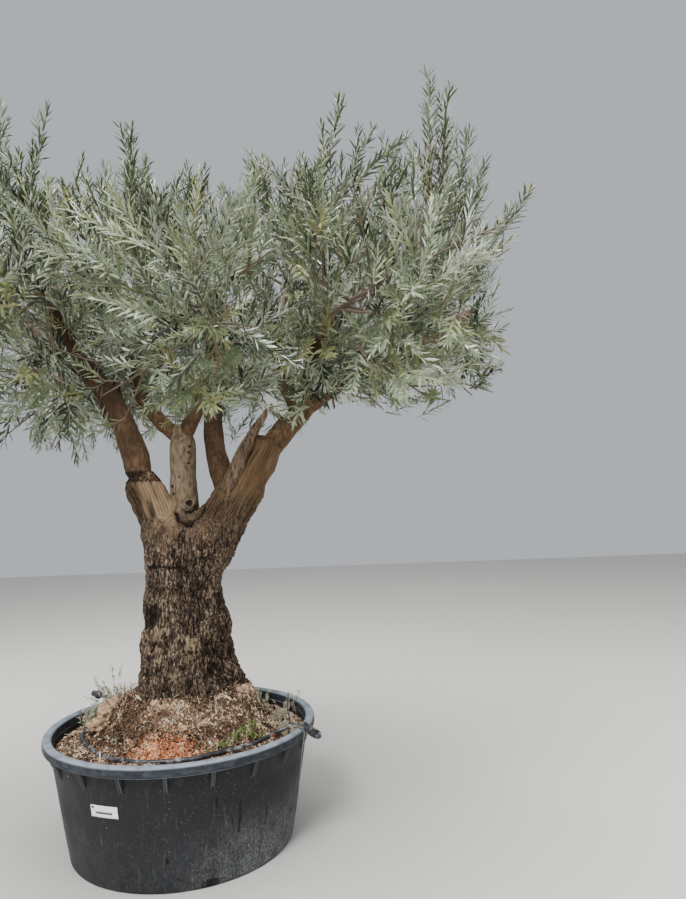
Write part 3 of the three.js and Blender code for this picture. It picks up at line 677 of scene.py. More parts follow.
def moulded_polyethylene():
    """Black polyethylene from a mould: a dull sheen, paler where the sun and dust have bleached it."""
    material, node, shader = new_material("moulded black polyethylene", 0.55, ior=1.51, specular=0.18)
    palette = colours()
    place = node("object")
    across = node("across", place)
    height = node("height", place)
    cloud = pattern(node, (6, 6, 5), 4)
    streak = pattern(node, (48, 48, 2.6), 5, 0.65)
    speck = pattern(node, (210, 210, 160), 2)
    blotch = pattern(node, (17, 17, 9), 5, 0.6, 0.6)
    drip = pattern(node, (52, 52, 12), 3, 0.5)
    bleached = node("mix", node("ramp", cloud, 0.35, 0.75, 0, 0.45), palette.plastic, "2c2e31")
    run = node("times", node("ramp", streak, 0.56, 0.8, 0, 0.30), node("ramp", height, 0.05, 0.5, 1, 0.5))
    streaked = node("mix", run, bleached, palette.dust)
    dark = node("mix", node("ramp", drip, 0.66, 0.72, 0, 0.6), streaked, "1a1b1d")
    grain = pattern(node, (150, 150, 75), 4, 0.7)
    low = node("times", node("ramp", height, 0.36, 0.01, 0, 1), node("ramp", blotch, 0.3, 0.6, 0.35, 1))
    scuffed = node("times", low, node("ramp", across, 0.0, 0.46, 0.12, 1))
    scuffed = node("times", scuffed, node("ramp", grain, 0.40, 0.68, 0.15, 0.75))
    dusty = node("mix", scuffed, dark, "97999c")
    specks = node("mix", node("ramp", speck, 0.66, 0.76, 0, 0.6), dusty, "a3a3a1")
    # Dark runs down the wall; the last mark is the painted shade of a drain notch at its foot
    for mark in WALL_MARKS:
        share = node("times", wall_mark(node, place, height, *mark), 0.85)
        specks = node("mix", share, specks, "0e0e0f")
    rub = pattern(node, (26, 26, 45), 5, 0.65)
    scratch = pattern(node, (16, 16, 60), 4, 0.6)
    face = node("mix", node("ramp", rub, 0.40, 0.70, 0.1, 0.9), "25282c", palette.rim)
    foot = POT_HEIGHT - RIM_HEIGHT
    lower = node("times", node("ramp", height, foot + 0.0055, foot + 0.003),
                 node("ramp", scratch, 0.35, 0.6, 0.2, 0.9))
    face = node("mix", lower, face, "8b9094")
    # Painted highlight where the sky lights the rim's top, broken by scratches
    top = node("times", node("ramp", height, POT_HEIGHT - 0.013, POT_HEIGHT - 0.003),
               node("ramp", scratch, 0.30, 0.62, 0.55, 1.0))
    worn_and_lit = node("mix", top, face, "98a1aa")
    edge = node("ramp", height, foot - 0.001, foot + 0.003)
    put(shader["Base Color"], node("mix", edge, specks, worn_and_lit))
    put(shader["Roughness"], node("ramp", cloud, 0.3, 0.7, 0.48, 0.66))
    put(shader["Normal"], node("bump", pattern(node, (120, 120, 80), 3), 0.0003))
    return material


def printed_paper():
    """Coated label paper: smooth, almost white, with a faint sheen."""
    return plain("coated label paper", colours().paper, 0.5)


def extruded_pipe():
    """Extruded black polyethylene pipe: a soft gloss under patches of grey dust."""
    material, node, shader = new_material("extruded polyethylene pipe", 0.5, ior=1.51)
    dust = pattern(node, (38, 38, 38), 5, 0.6)
    lime = pattern(node, (9, 9, 9), 3)
    share = node("times", node("ramp", dust, 0.42, 0.66, 0, 1), node("ramp", lime, 0.45, 0.60, 0.15, 1))
    put(shader["Base Color"], node("mix", share, colours().pipe, "9b9a97"))
    put(shader["Roughness"], node("ramp", dust, 0.35, 0.7, 0.34, 0.75))
    return material


def grown_bark():
    """Olive bark, old and flaking on the trunk, smooth on the regrown limbs, with bare grained wood."""
    material, node, shader = new_material("olive bark and heartwood", 0.92, ior=1.45, specular=0.25)
    palette = colours()
    masks = {name: node("mask", attribute_name=name)
             for name in ("bare", "young", "centre", "fibrous", "pit", "crust")}
    pit = masks["pit"]
    grain = node("grain")
    height = node("height", node("object"))

    # Seams some 13 mm apart and flakes of 7 mm between them, of which the photo shows only the larger
    seam = pattern(node, (72, 72, 15), 4, 0.62, 0.5)
    gap = node("size", node("sum", seam, -0.5))
    chip = pattern(node, (150, 150, 66), 3, 0.6)
    fine = pattern(node, (240, 240, 120), 4, 0.65)
    wide = pattern(node, (9, 9, 6), 4, 0.6)
    crust = pattern(node, (15, 15, 13), 5, 0.7, 0.4)
    fibre = node("noise", node("place", grain, (150, 150, 5)), 1.0, 5, 0.65)
    bands = node("noise", node("place", grain, (34, 34, 2.4)), 1.0, 4, 0.6, 0.3)

    flakes = node("mix", node("ramp", chip, 0.42, 0.64), palette.bark, palette.bark_pale)
    flakes = node("mix", node("ramp", fine, 0.44, 0.7, 0, 0.6), flakes, "4a392d")
    flakes = node("mix", node("ramp", height, 0.86, 0.72, 0, 0.35), flakes, "3f3026")
    band = node("times", node("ramp", height, 0.80, 0.92), node("ramp", height, 1.12, 1.0))
    crusted = node("times", node("ramp", crust, 0.53, 0.64, 0, 0.8), node("ramp", band, 0, 1, 0.2, 1))
    flakes = node("mix", crusted, flakes, palette.lichen)
    flakes = node("mix", node("ramp", wide, 0.46, 0.62, 0, 0.62), flakes, "33251c")
    flakes = node("mix", node("ramp", masks["crust"], 0.15, 0.7, 0, 0.6), flakes, "a89576")
    # The seams are darkened to the cracks' colour, painted shade
    seams = node("times", node("ramp", gap, 0.012, 0.062, 0.96, 0), node("ramp", wide, 0.3, 0.55, 0.6, 1))
    seams = node("times", seams, node("ramp", masks["crust"], 0.1, 0.7, 1, 0.35))
    old = node("mix", seams, flakes, palette.bark_deep)
    stringy = node("mix", node("ramp", bands, 0.40, 0.72), palette.fibrous, "745f4c")
    stringy = node("mix", node("ramp", fine, 0.5, 0.72, 0, 0.55), stringy, "9d8874")
    stringy = node("mix", node("ramp", fibre, 0.42, 0.60, 0, 0.9), stringy, "2b1f17")
    old = node("mix", masks["fibrous"], old, stringy)
    # Painted shade in the cracks and hollows, with the dark buds and charring, in the cracks' colour
    old = node("mix", node("ramp", pit, 0.25, 0.95, 0, 0.85), old, palette.bark_deep)

    skin = pattern(node, (60, 60, 26), 5, 0.6)
    smooth = node("mix", node("ramp", skin, 0.35, 0.7), palette.young, "765c45")
    # Painted shade of the crown: the young bark grows darker from 1.9 m up to 2.4 m
    smooth = node("mix", node("ramp", height, 1.9, 2.4, 0, 0.8), smooth, "30271f")
    smooth = node("mix", node("ramp", wide, 0.4, 0.65, 0, 0.6), smooth, "3c2e23")
    grey = node("mix", node("ramp", skin, 0.4, 0.62, 0, 0.85), palette.centre, "655341")
    # Painted shade, with the dark buds and the knot's heart, darkens the grey bark
    grey = node("mix", node("ramp", pit, 0.3, 0.9, 0, 0.95), grey, "1f1711")

    wood = node("mix", node("ramp", bands, 0.35, 0.68), palette.bare, "7e6649")
    across = node("ramp", node("across", node("object")), 0.08, -0.04, 0, 0.65)
    pale = node("times", across, node("ramp", height, 1.44, 1.56, 0.1, 1.2))
    wood = node("mix", pale, wood, "bd9f7f")
    wood = node("mix", node("ramp", fibre, 0.47, 0.66, 0, 0.65), wood, "443324")
    # Painted shade in the grooves of the bare wood, with its charring
    wood = node("mix", node("ramp", pit, 0.4, 0.95, 0, 0.9), wood, "2b1d13")

    barked = node("mix", masks["centre"], node("mix", masks["young"], old, smooth), grey)
    put(shader["Base Color"], node("mix", masks["bare"], barked, wood))
    relief = node("mix", masks["young"], node("ramp", gap, 0, 0.08), skin)
    relief = node("mix", masks["fibrous"], relief, fibre)
    relief = node("mix", masks["centre"], relief, skin)
    relief = node("mix", masks["bare"], relief, fibre)
    put(shader["Normal"], node("bump", node("mix", 0.3, relief, fine), 0.0045))
    return material


def split_heartwood():
    """Dead olive wood split along its grain, silvered by the weather."""
    material, node, shader = new_material("split weathered heartwood", 0.85, ior=1.45, specular=0.3)
    line = pattern(node, (150, 150, 14), 5, 0.6, 0.2)
    wide = pattern(node, (30, 30, 8), 4)
    wood = node("mix", node("ramp", wide, 0.35, 0.65), "6b5745", "8c7762")
    wood = node("mix", node("ramp", line, 0.45, 0.66, 0, 0.85), wood, "2b1f17")
    put(shader["Base Color"], wood)
    put(shader["Normal"], node("bump", line, 0.004))
    return material


def dry_sand():
    """Dry sandy earth in lumps: pale and matt, with a fine grit."""
    material, node, shader = new_material("dry sandy earth", 0.95, ior=1.4, specular=0.2)
    grit = pattern(node, (190, 190, 190), 4, 0.7)
    cloud = pattern(node, (34, 34, 34), 4, 0.6)
    sand = node("mix", node("ramp", cloud, 0.38, 0.66), "d6b898", "a5866a")
    sand = node("mix", node("ramp", grit, 0.46, 0.68, 0, 0.7), sand, "6b503c")
    put(shader["Base Color"], sand)
    put(shader["Normal"], node("bump", grit, 0.004))
    return material


def damp_earth():
    """Loose red earth under rotted straw: matt, with crumbs and darker damp places."""
    material, node, shader = new_material("loose damp earth", 0.95, ior=1.4, specular=0.2)
    palette = colours()
    place = node("object")
    crumb = pattern(node, (90, 90, 90), 5, 0.65)
    damp = pattern(node, (11, 11, 11), 4, 0.6)
    straw = pattern(node, (40, 40, 40), 4, 0.7, 1.2)
    red = node("place", place, (1 / RED_REACH[0], 1 / RED_REACH[1], 0),
               (-RED_MIDDLE[0] / RED_REACH[0], -RED_MIDDLE[1] / RED_REACH[1], 0))
    away = node("length", red)
    front = node("times", node("ramp", away, 1.25, 0.7), node("ramp", damp, 0.3, 0.5, 0.3, 1))
    earth = node("mix", front, palette.soil, palette.red_soil)
    earth = node("mix", node("ramp", straw, 0.5, 0.72, 0, 0.7), earth, "9a856c")
    earth = node("mix", node("ramp", crumb, 0.44, 0.66, 0, 0.85), earth, "2a1e16")
    put(shader["Base Color"], earth)
    put(shader["Normal"], node("bump", crumb, 0.006))
    return material


# Growth, by the rule of the solids

def draws(seed):
    """The solids' own row of random shares."""
    state = seed
    while True:
        state = (state * 1664525 + 1013904223) % 2 ** 32
        yield state / 2 ** 32


def between(pair, share):
    """The value at a share of the way from the first to the second."""
    return pair[0] + (pair[1] - pair[0]) * share


def heading(azimuth, lean):
    """The direction with an azimuth and a lean from upright, in degrees."""
    turn = math.radians(azimuth)
    tilt = math.radians(lean)
    return Vector((math.sin(tilt) * math.cos(turn), math.sin(tilt) * math.sin(turn), math.cos(tilt)))


def limb_points(limb, start):
    """A limb's middle line: even steps whose heading turns steadily from the first to the last."""
    points = [start]
    for step in range(LIMB_STEPS):
        share = (step + 0.5) / LIMB_STEPS
        way = heading(between(limb["azimuth"], share), between(limb["lean"], share))
        points.append(points[step] + way * (limb["length"] / LIMB_STEPS))
    return points


def grow_limbs():
    """Every limb's middle line, tip and the way that it points there, by name."""
    grown = {}
    for limb in LIMBS:
        start = limb["start"]
        if start[0] in grown:
            line = grown[start[0]]["points"]
            place = start[1] * LIMB_STEPS
            step = min(int(place), LIMB_STEPS - 1)
            start = line[step].lerp(line[step + 1], place - step)
        points = limb_points(limb, Vector(start))
        way = (points[-1] - points[-2]).normalized()
        grown[limb["name"]] = dict(limb, points=points, tip=points[-1], way=way)
    return grown


TREE_LIMBS = grow_limbs()
# The limbs' straight segments: both ends, the radius at each and the limb's name
SEGMENTS = [
    (limb["points"][step], limb["points"][step + 1], between(limb["radius"], step / LIMB_STEPS),
     between(limb["radius"], (step + 1) / LIMB_STEPS), limb["name"])
    for limb in TREE_LIMBS.values() for step in range(LIMB_STEPS)
]


def limb_distances(points):
    """For each point, how far it lies outside each limb segment, and its share along the segment."""
    starts = np.array([segment[0] for segment in SEGMENTS])
    spans = np.array([segment[1] for segment in SEGMENTS]) - starts
    radii = np.array([segment[2] for segment in SEGMENTS])
    ends = np.array([segment[3] for segment in SEGMENTS])
    away = points[:, None, :] - starts[None]
    share = np.clip((away * spans).sum(-1) / (spans * spans).sum(-1), 0, 1)
    distance = np.linalg.norm(away - share[..., None] * spans, axis=-1)
    return distance - (radii + (ends - radii) * share), share


def in_cell(mass, points, room):
    """Whether points are nearer to a mass's middle than to any other's, less a clear strip."""
    own = np.array(mass["hub"])
    inside = np.ones(len(points), bool)
    for other in MASSES:
        if other is mass:
            continue
        way = np.array(other["hub"]) - own
        half = np.linalg.norm(way) / 2
        inside &= (points - own) @ (way / (2 * half)) < half - room
    return inside


def seen_on_middle(points):
    """Where the photo's view sees points on the upright plane through the trunk: across and height."""
    camera = np.array(CAMERA_PLACE)
    nearer = camera[1] / (camera[1] - points[:, 1])
    across = camera[0] + (points[:, 0] - camera[0]) * nearer
    height = camera[2] + (points[:, 2] - camera[2]) * nearer
    return across, height


def in_crown(mass, points, over):
    """Whether points keep to the mass's reach and to the crown's outline, with some room over it."""
    across, height = seen_on_middle(points)
    top = np.interp(across, *zip(*TOP_LINE)) + over
    under = np.interp(across, *zip(*UNDER_LINE))
    right = np.interp(height, *zip(*RIGHT_LINE))
    low, high = (np.array(corner) for corner in CAD_BOX)
    boxed = ((points > low) & (points < high)).all(1)
    away = points - np.array(mass["hub"])
    reach = np.array(mass["reach"])
    upright = np.where(away[:, 2] > 0, reach[2], reach[3])
    spread = np.stack([
        away[:, 0] / (reach[0] + 0.2), away[:, 1] / (reach[1] + 0.2), away[:, 2] / (upright + 0.22)])
    whole = boxed & (height < top) & (height > under) & (across < right)
    return whole & ((spread ** 2).sum(0) < 1) & in_cell(mass, points, -0.07)


def bezier(root, middle, tip, share):
    """A point on a quadratic curve."""
    return root * (1 - share) ** 2 + middle * (2 * share * (1 - share)) + tip * share ** 2


def bezier_way(root, middle, tip, share):
    """The direction of a quadratic curve."""
    return ((middle - root) * (1 - share) + (tip - middle) * share).normalized()


def rising(root, tip, lift):
    """A curve from root to tip that sags or lifts in its middle."""
    middle = root.lerp(tip, 0.5)
    middle.z -= (tip.z - root.z) * lift
    return root, middle, tip


def branched_way(way, turn, angle, rise):
    """A direction at an angle to another, turned round it, and lifted a little."""
    helper = Vector((1, 0, 0)) if abs(way.z) > 0.9 else UP
    across = way.cross(helper).normalized()
    across.rotate(Quaternion(way, turn))
    return (way * math.cos(angle) + across * math.sin(angle) + UP * rise).normalized()


def fits(mass, curve, room):
    """Whether a twig of the solids' rule keeps to its cell and clear of the limbs."""
    points = np.array([bezier(*curve, step / 8) for step in range(9)])
    if not in_cell(mass, points, CELL_ROOM).all():
        return False
    return limb_distances(points)[0].min() > room


def grow_boughs(mass):
    """The stem, leaders, shoots and side branches that the solid has, each with its radii."""
    draw = draws(mass["seed"])
    limb = TREE_LIMBS[mass["limb"]]
    hub = Vector(mass["hub"])
    foot = limb["tip"] + limb["way"] * STEM_GAP
    knee = foot + limb["way"] * ((foot - hub).length / 2)
    stem = (foot - limb["way"] * 0.03, knee, hub)
    boughs = [dict(curve=stem, radius=STEM_RADIUS, kind="stem")]

    tips = [Vector(tip) for tip in LEADERS if in_cell(mass, np.array([tip]), CELL_ROOM)[0]]
    for index, tip in enumerate(tips):
        way = ((tip - hub).normalized() + UP * LEADER_RISE).normalized()
        root = bezier(*stem, LEADER_FROM - LEADER_STEP * index)
        if fits(mass, rising(root, tip - way * LEADER_LEAF, LEADER_LIFT), LEADER_RADIUS + LIMB_ROOM):
            boughs.append(dict(curve=rising(root, tip - way * 0.05, LEADER_LIFT),
                               radius=(LEADER_RADIUS * 0.7, 0.0015), kind="leader"))

    for index in range(SHOOTS):
        level = index / (SHOOTS - 1)
        turn = index * GOLDEN_TURN + next(draw) * 0.6
        height = between(SHOOT_LEVELS, level)
        out = math.sqrt(1 - height * height) * (0.85 + 0.3 * next(draw))
        across, deep, rise, drop = mass["reach"]
        tip = hub + Vector((across * out * math.cos(turn), deep * out * math.sin(turn),
                            (rise if height > 0 else drop) * height))
        while not in_cell(mass, np.array([tip]), CELL_ROOM)[0]:
            tip = tip.lerp(hub, 0.1)
        curve = rising(bezier(*stem, between(SHOOT_FROM, level)), tip, SHOOT_LIFT)
        side_share = between(SIDE_FROM, next(draw))
        side_length = SIDE_LENGTH * (0.8 + 0.4 * next(draw))
        if not fits(mass, curve, SHOOT_RADIUS + LIMB_ROOM):
            continue
        boughs.append(dict(curve=curve, radius=(SHOOT_RADIUS, 0.003), kind="shoot"))
        if index % 2 == 0:
            root = bezier(*curve, side_share)
            way = branched_way(bezier_way(*curve, side_share), turn, SIDE_ANGLE, SIDE_RISE)
            boughs.append(dict(curve=rising(root, root + way * side_length, 0), radius=(SIDE_RADIUS, 0.002),
                               kind="side"))
    return boughs


def level_in(mass, point):
    """How high a point is in its mass, from nought at the bottom to one at the top."""
    drop = mass["hub"][2] - mass["reach"][3]
    return min(max((point.z - drop) / (mass["reach"][2] + mass["reach"][3]), 0), 1)


def limb_curve(mass):
    """The outer half of the limb that feeds a mass, which bears sprays too."""
    points = TREE_LIMBS[mass["limb"]]["points"]
    return dict(curve=(points[1], points[3], points[5]), radius=(0, 0), kind="limb")


def pruned(mass, twig):
    """A bough cut back to where it leaves the crown."""
    curve = twig["curve"]
    shares = np.linspace(1, 0.3, 15)
    inside = in_crown(mass, np.array([bezier(*curve, share) for share in shares]), 0.0)
    share = shares[np.argmax(inside)] if inside.any() else shares[-1]
    return dict(twig, curve=(curve[0], curve[0].lerp(curve[1], share), bezier(*curve, share)))


def grow_branches(mass, boughs, chance):
    """The solid's boughs carried on to branches, by the same golden turns."""
    branches = []
    spacing = sizes().branch_spacing
    for bough in boughs:
        curve = bough["curve"]
        reach = (curve[2] - curve[0]).length
        kind = bough["kind"]
        first = FIRST_BRANCH[kind]
        dense = 2.2 if kind == "limb" else 1
        count = max(2, round(dense * reach * (1 - first) / spacing))
        phase = chance.uniform(0, math.tau)
        for index in range(count):
            share = between((first, 0.97), (index + 0.5 + chance.uniform(-0.3, 0.3)) / count)
            turn = phase + index * GOLDEN_TURN
            long = SIDE_LENGTH * chance.uniform(0.65, 1.15) * (1.1 - 0.5 * share)
            angle = SIDE_ANGLE * chance.uniform(0.75, 1.15)
            if kind == "leader":
                long *= 0.8 - 0.45 * share
                angle *= 0.7
            root = bezier(*curve, share)
            rise = between((0.0, 0.6), level_in(mass, root))
            way = branched_way(bezier_way(*curve, share), turn, angle, rise)
            tip = root + way * long
            middle = root.lerp(tip, 0.5) + UP * (chance.uniform(-0.08, 0.04) * long)
            branches.append(dict(curve=(root, middle, tip), radius=(0.0046, 0.0018), kind="branch"))
    return branches


def grow_shoots(mass, boughs, branches, chance):
    """The leafy shoots: each its curve, the size of its leaves and the space between its pairs."""
    shoots = []
    spacing = sizes().shoot_spacing
    for twig in boughs + branches:
        curve = twig["curve"]
        kind = twig["kind"]
        if kind in ("stem", "limb"):
            continue
        if kind == "leader":
            bare = bezier(*curve, 0.36)
            bend = bezier(*curve, 0.68)
            shoots.append(((bare, bend * 2 - (bare + curve[2]) / 2, curve[2]), 1.40, 0.036, True))
        reach = (curve[2] - curve[0]).length
        first = FIRST_SHOOT[kind]
        count = max(2, round(reach * (1 - first) / spacing / (2 if kind == "leader" else 1)))
        phase = chance.uniform(0, math.tau)
        for index in range(count + 1):
            last = index == count
            if last and kind == "leader":
                continue
            share = 0.985 if last else between((first, 0.96), (index + chance.uniform(0, 0.9)) / count)
            turn = phase + index * GOLDEN_TURN
            long = sizes().shoot_length * chance.uniform(0.5, 1.15) * (1.15 - 0.35 * share)
            angle = 0.06 if last else chance.uniform(0.45, 0.8)
            root = bezier(*curve, share)
            level = level_in(mass, root)
            rise = between((0.0, 1.0), level * level)
            long *= 1 + 0.35 * level
            if kind == "leader":
                long *= 1.15 - 0.75 * share
                angle *= 0.75
            if last:
                long *= 1.25
            way = branched_way(bezier_way(*curve, share), turn, angle, rise)
            tip = root + way * long
            middle = root.lerp(tip, 0.5) + UP * (long * chance.uniform(-0.06, 0.03))
            size = chance.uniform(0.85, 1.1)
            shoots.append(((root, middle, tip), size, sizes().pair_spacing * size, kind == "leader"))
    return shoots


def kept_shoots(mass, shoots):
    """The shoots that keep to the crown, as arrays of curves, leaf sizes and spaces between pairs."""
    curves = np.array([shoot[0] for shoot in shoots])
    size = np.array([shoot[1] for shoot in shoots])
    gap = np.array([shoot[2] for shoot in shoots])
    leader = np.array([shoot[3] for shoot in shoots])
    ends = curves[:, 2] + unit(curves[:, 2] - curves[:, 1]) * 0.03
    keep = in_crown(mass, ends, OVERSHOOT) | leader
    clump = layered(ends, (0.17, 0.17, 0.26), 2)
    open_top = eased(ends[:, 2], 2.6, 3.1) + 0.5 * eased(ends[:, 0], 0.8, 1.4)
    depth = depth_in_crown(mass, ends)
    keep &= (clump > -0.30 + 0.46 * open_top - (0.6 + 0.1 * open_top) * depth) | leader
    across, height = seen_on_middle(ends)
    flat = np.stack([across, np.zeros(len(across)), height], axis=1)
    window = ((across - OPEN_MIDDLE[0]) / OPEN_REACH[0]) ** 2
    window += ((height - OPEN_MIDDLE[1]) / OPEN_REACH[1]) ** 2
    keep &= (layered(flat, (0.12, 0.12, 0.12), 2) > -0.80 + 0.80 * np.exp(-window)) | leader
    keep &= (line_gaps(flat, LIMB_SEEN) > 0.09 + 0.05 * clump) | (ends[:, 1] > 0)
    keep &= limb_distances(ends)[0].min(1) > 0.005
    keep &= limb_distances(curves[:, 0])[0].min(1) > -0.012
    return curves[keep], size[keep], gap[keep]


def leaf_palette():
    """Olive leaves: leathery and grey-green above, felted and silvery below."""
    return [plain(*look) for look in LEAF_LOOKS]


def depth_in_crown(mass, points):
    """How deep a spray is in its mass: nought out in the light, one in the shade of the others."""
    hub = np.array(mass["hub"])
    wide, deep, up, down = mass["reach"]
    away = points - hub
    away[:, 2] /= np.where(away[:, 2] > 0, up, down)
    out = np.linalg.norm(away / np.array([wide, deep, 1]), axis=1)
    low = eased(-away[:, 2], 0.0, 0.7) * eased(out, 1.05, 0.75)
    return np.clip(eased(out, 0.95, 0.5) * 0.9 + low * 0.1, 0, 1)


def dealt(shares, depth, height, chance):
    """One of several looks for each spray, darker as painted shade the deeper in the crown and the higher
    against the sky it is.
    """
    light, shade, sky = (np.cumsum(row) / np.sum(row) for row in shares)
    edges = light + (shade - light) * depth[:, None]
    edges += (sky - edges) * height[:, None]
    return np.minimum((chance.uniform(0, 1, len(depth))[:, None] > edges).sum(1), len(light) - 1)


def grow_leaves(curves, size, gap, chance):
    """Pairs of leaves along shoots, each pair turned a quarter from the last, and one at each tip."""
    count = len(curves)
    reach = np.linalg.norm(curves[:, 2] - curves[:, 0], axis=1)
    pairs = np.clip((reach / gap).astype(int), 3, PAIRS_MOST)
    index = np.arange(PAIRS_MOST)
    wanted = index[None, :] < pairs[:, None]
    share = np.minimum(0.06 + 0.94 * (index[None, :] + 0.5) / pairs[:, None], 0.99)[:, :, None]
    root, middle, tip = (curves[:, None, part] for part in range(3))
    places = bezier(root, middle, tip, share)
    ways = unit((middle - root) * (1 - share) + (tip - middle) * share)
    helper = np.where(np.abs(ways[..., 2:]) > 0.9, [[[1.0, 0, 0]]], [[[0, 0, 1.0]]])
    across = unit(np.cross(ways, helper))
    other = np.cross(ways, across)
    start = chance.uniform(0, math.tau, count)
    turn = start[:, None] + index[None, :] * QUARTER_TURN + chance.normal(0, 0.18, (count, PAIRS_MOST))
    spray = np.repeat(np.arange(count)[:, None], PAIRS_MOST, axis=1)

    parts = []
    for side in (0, math.pi):
        angle = turn + side
        out = across * np.cos(angle)[..., None] + other * np.sin(angle)[..., None]
        opened = np.clip(0.84 - 0.42 * share[..., 0] + chance.normal(0, 0.12, angle.shape), 0.15, 1.2)
        leaf_ways = unit(ways * np.cos(opened)[..., None] + out * np.sin(opened)[..., None])
        faces = unit(ways * 0.75 - out * 0.5 + np.array([0, 0, 0.6]) + chance.normal(0, 0.28, ways.shape))
        grown = size[:, None] * (1 - 0.36 * share[..., 0] ** 3) * chance.uniform(0.78, 1.15, angle.shape)
        kept = wanted & (chance.uniform(0, 1, angle.shape) > 0.05)
        parts.append((places[kept], leaf_ways[kept], faces[kept], grown[kept], spray[kept]))
    end_faces = unit(np.array([0, 0, 1.0]) + chance.normal(0, 0.5, (count, 3)))
    end_ways = unit(unit(curves[:, 2] - curves[:, 1]) + chance.normal(0, 0.08, (count, 3)))
    parts.append((curves[:, 2], end_ways, end_faces, size * 0.62, np.arange(count)))
    return [np.concatenate(column) for column in zip(*parts)]


def leaf_arrays(places, ways, faces, size, spray, tops, unders):
    """Leaves as points, triangles and material numbers, dealt out by spray."""
    wide, long = sizes().leaf_width, sizes().leaf_length
    spans = np.stack([wide * size, long * size, wide * size], axis=1)
    frames = frames_of(ways, faces)
    ends = places + ways * spans[:, 1:2]
    low, high = (np.array(corner) for corner in CAD_BOX)
    inside = ((ends > low - LEAF_ROOM) & (ends < high + LEAF_ROOM)).all(1)
    points, triangles = scatter(
        LEAF_SHAPE, LEAF_TOP + LEAF_UNDER, places[inside], frames[inside], spans[inside])
    spray = spray[inside]
    above = np.repeat(tops[spray][:, None], len(LEAF_TOP), 1)
    below = np.repeat(unders[spray][:, None], len(LEAF_UNDER), 1)
    return points, triangles, np.concatenate([above, below], axis=1).ravel()


def sampled(curves, steps):
    """Curves as arrays of points."""
    share = np.linspace(0, 1, steps)[None, :, None]
    root, middle, tip = (np.array([curve[part] for curve in curves])[:, None] for part in range(3))
    return bezier(root, middle, tip, share)


def tapers(pairs, steps):
    """Radii that run evenly from the first to the second of each pair."""
    share = np.linspace(0, 1, steps)[None]
    pairs = np.array(pairs)
    return pairs[:, :1] + (pairs[:, 1:] - pairs[:, :1]) * share


def wood_tubes(curves, radii, steps, sides):
    """Curves as tapering tubes."""
    return tubes(sampled(curves, steps), tapers(radii, steps), sides)


# Operators, one for each piece or group of like pieces

def loft(bm, rings, segments):
    """A closed tube through rings, each given by a function of the turn."""
    loops = []
    for index, ring in enumerate(rings):
        ends = index in (0, len(rings) - 1)
        made = bmesh.ops.create_circle(bm, cap_ends=ends, segments=segments, radius=1)["verts"]
        for corner in made:
            corner.co = ring(math.atan2(corner.co.y, corner.co.x))
        loops.append(made)
    for lower, upper in zip(loops, loops[1:]):
        edges = {edge for corners in (lower, upper) for corner in corners for edge in corner.link_edges
                 if all(end in corners for end in edge.verts)}
        bmesh.ops.bridge_loops(bm, edges=list(edges))


def trunk_ring(share):
    """A ring of the trunk at a share of its sections, with its flutes."""
    z, x, y, wide, deep = smooth_point(np.array(TRUNK_SECTIONS), share)

    def place(turn):
        flute = 1 + FLUTE_DEPTH * math.sin(FLUTES * turn + 3 * share) * (1 - 0.5 * share)
        return Vector((x + wide * flute * math.cos(turn), y + deep * flute * math.sin(turn), z))
    return place


def limb_ring(points, radii, share, rounding=0.0):
    """A ring of a limb at a share of its length, drawn in where its end is rounded."""
    middle = Vector(smooth_point(np.array(points), share))
    ahead = Vector(smooth_point(np.array(points), min(share + 0.02, 1)))
    behind = Vector(smooth_point(np.array(points), max(share - 0.02, 0)))
    way = (ahead - behind).normalized()
    side = way.cross(Vector((0, 1, 0))).normalized()
    other = way.cross(side)
    radius = between(radii, share)
    if rounding and share > 1 - rounding:
        radius *= math.sqrt(max(1 - ((share - 1 + rounding) / rounding) ** 2 * 0.8, 0))
    return lambda turn: middle + (side * math.cos(turn) + other * math.sin(turn)) * radius


def lofted_limb(bm, points, radii, steps, segments, rounding=0.0):
    """A limb as a tube of so many rings and sides."""
    loft(bm, [limb_ring(points, radii, step / steps, rounding) for step in range(steps + 1)], segments)


def evaluated(rough):
    """The mesh that an object's modifiers or bevel make, without the object."""
    bpy.context.view_layer.update()
    mesh = bpy.data.meshes.new_from_object(rough.evaluated_get(bpy.context.evaluated_depsgraph_get()))
    bpy.data.objects.remove(rough)
    return mesh


def remeshed(bm, voxel, rounds):
    """One smooth skin over overlapping tubes."""
    rough = bpy.data.objects.new("rough", mesh_from_bmesh(bm))
    bpy.context.scene.collection.objects.link(rough)
    skin = rough.modifiers.new("skin", "REMESH")
    skin.mode = "VOXEL"
    skin.voxel_size = voxel
    soft = rough.modifiers.new("soft", "SMOOTH")
    soft.factor = 0.5
    soft.iterations = rounds
    return evaluated(rough)


def eased(value, low, high):
    """A smooth step from nought at low to one at high."""
    share = np.clip((value - low) / (high - low), 0, 1)
    return share * share * (3 - 2 * share)


def bell(value, width, power=2):
    """One where a value is nought, falling to nought past a width on either side."""
    return np.exp(-(value / width) ** power)


def line_gaps(points, line):
    """How far each point is from a line of places, as seen from the front."""
    flat = points[:, [0, 2]]
    gaps = []
    for start, end in zip(np.array(line), np.array(line[1:])):
        share = np.clip(((flat - start) @ (end - start)) / ((end - start) @ (end - start)), 0, 1)
        gaps.append(np.linalg.norm(flat - start - share[:, None] * (end - start), axis=1))
    return np.minimum.reduce(gaps)


def layered(points, scale, octaves):
    """A layered noise at each point, whose features have the given size along each axis."""
    return np.array([noise.fractal(Vector(point), 0.85, 2.0, octaves) for point in points / np.array(scale)])


def around(points, centre, radius):
    """A round swelling of height one at a centre."""
    return np.exp(-((points - np.array(centre)) ** 2).sum(1) / radius ** 2)


def deepest(shapes):
    """The largest of several values at each point."""
    return np.maximum.reduce(list(shapes))


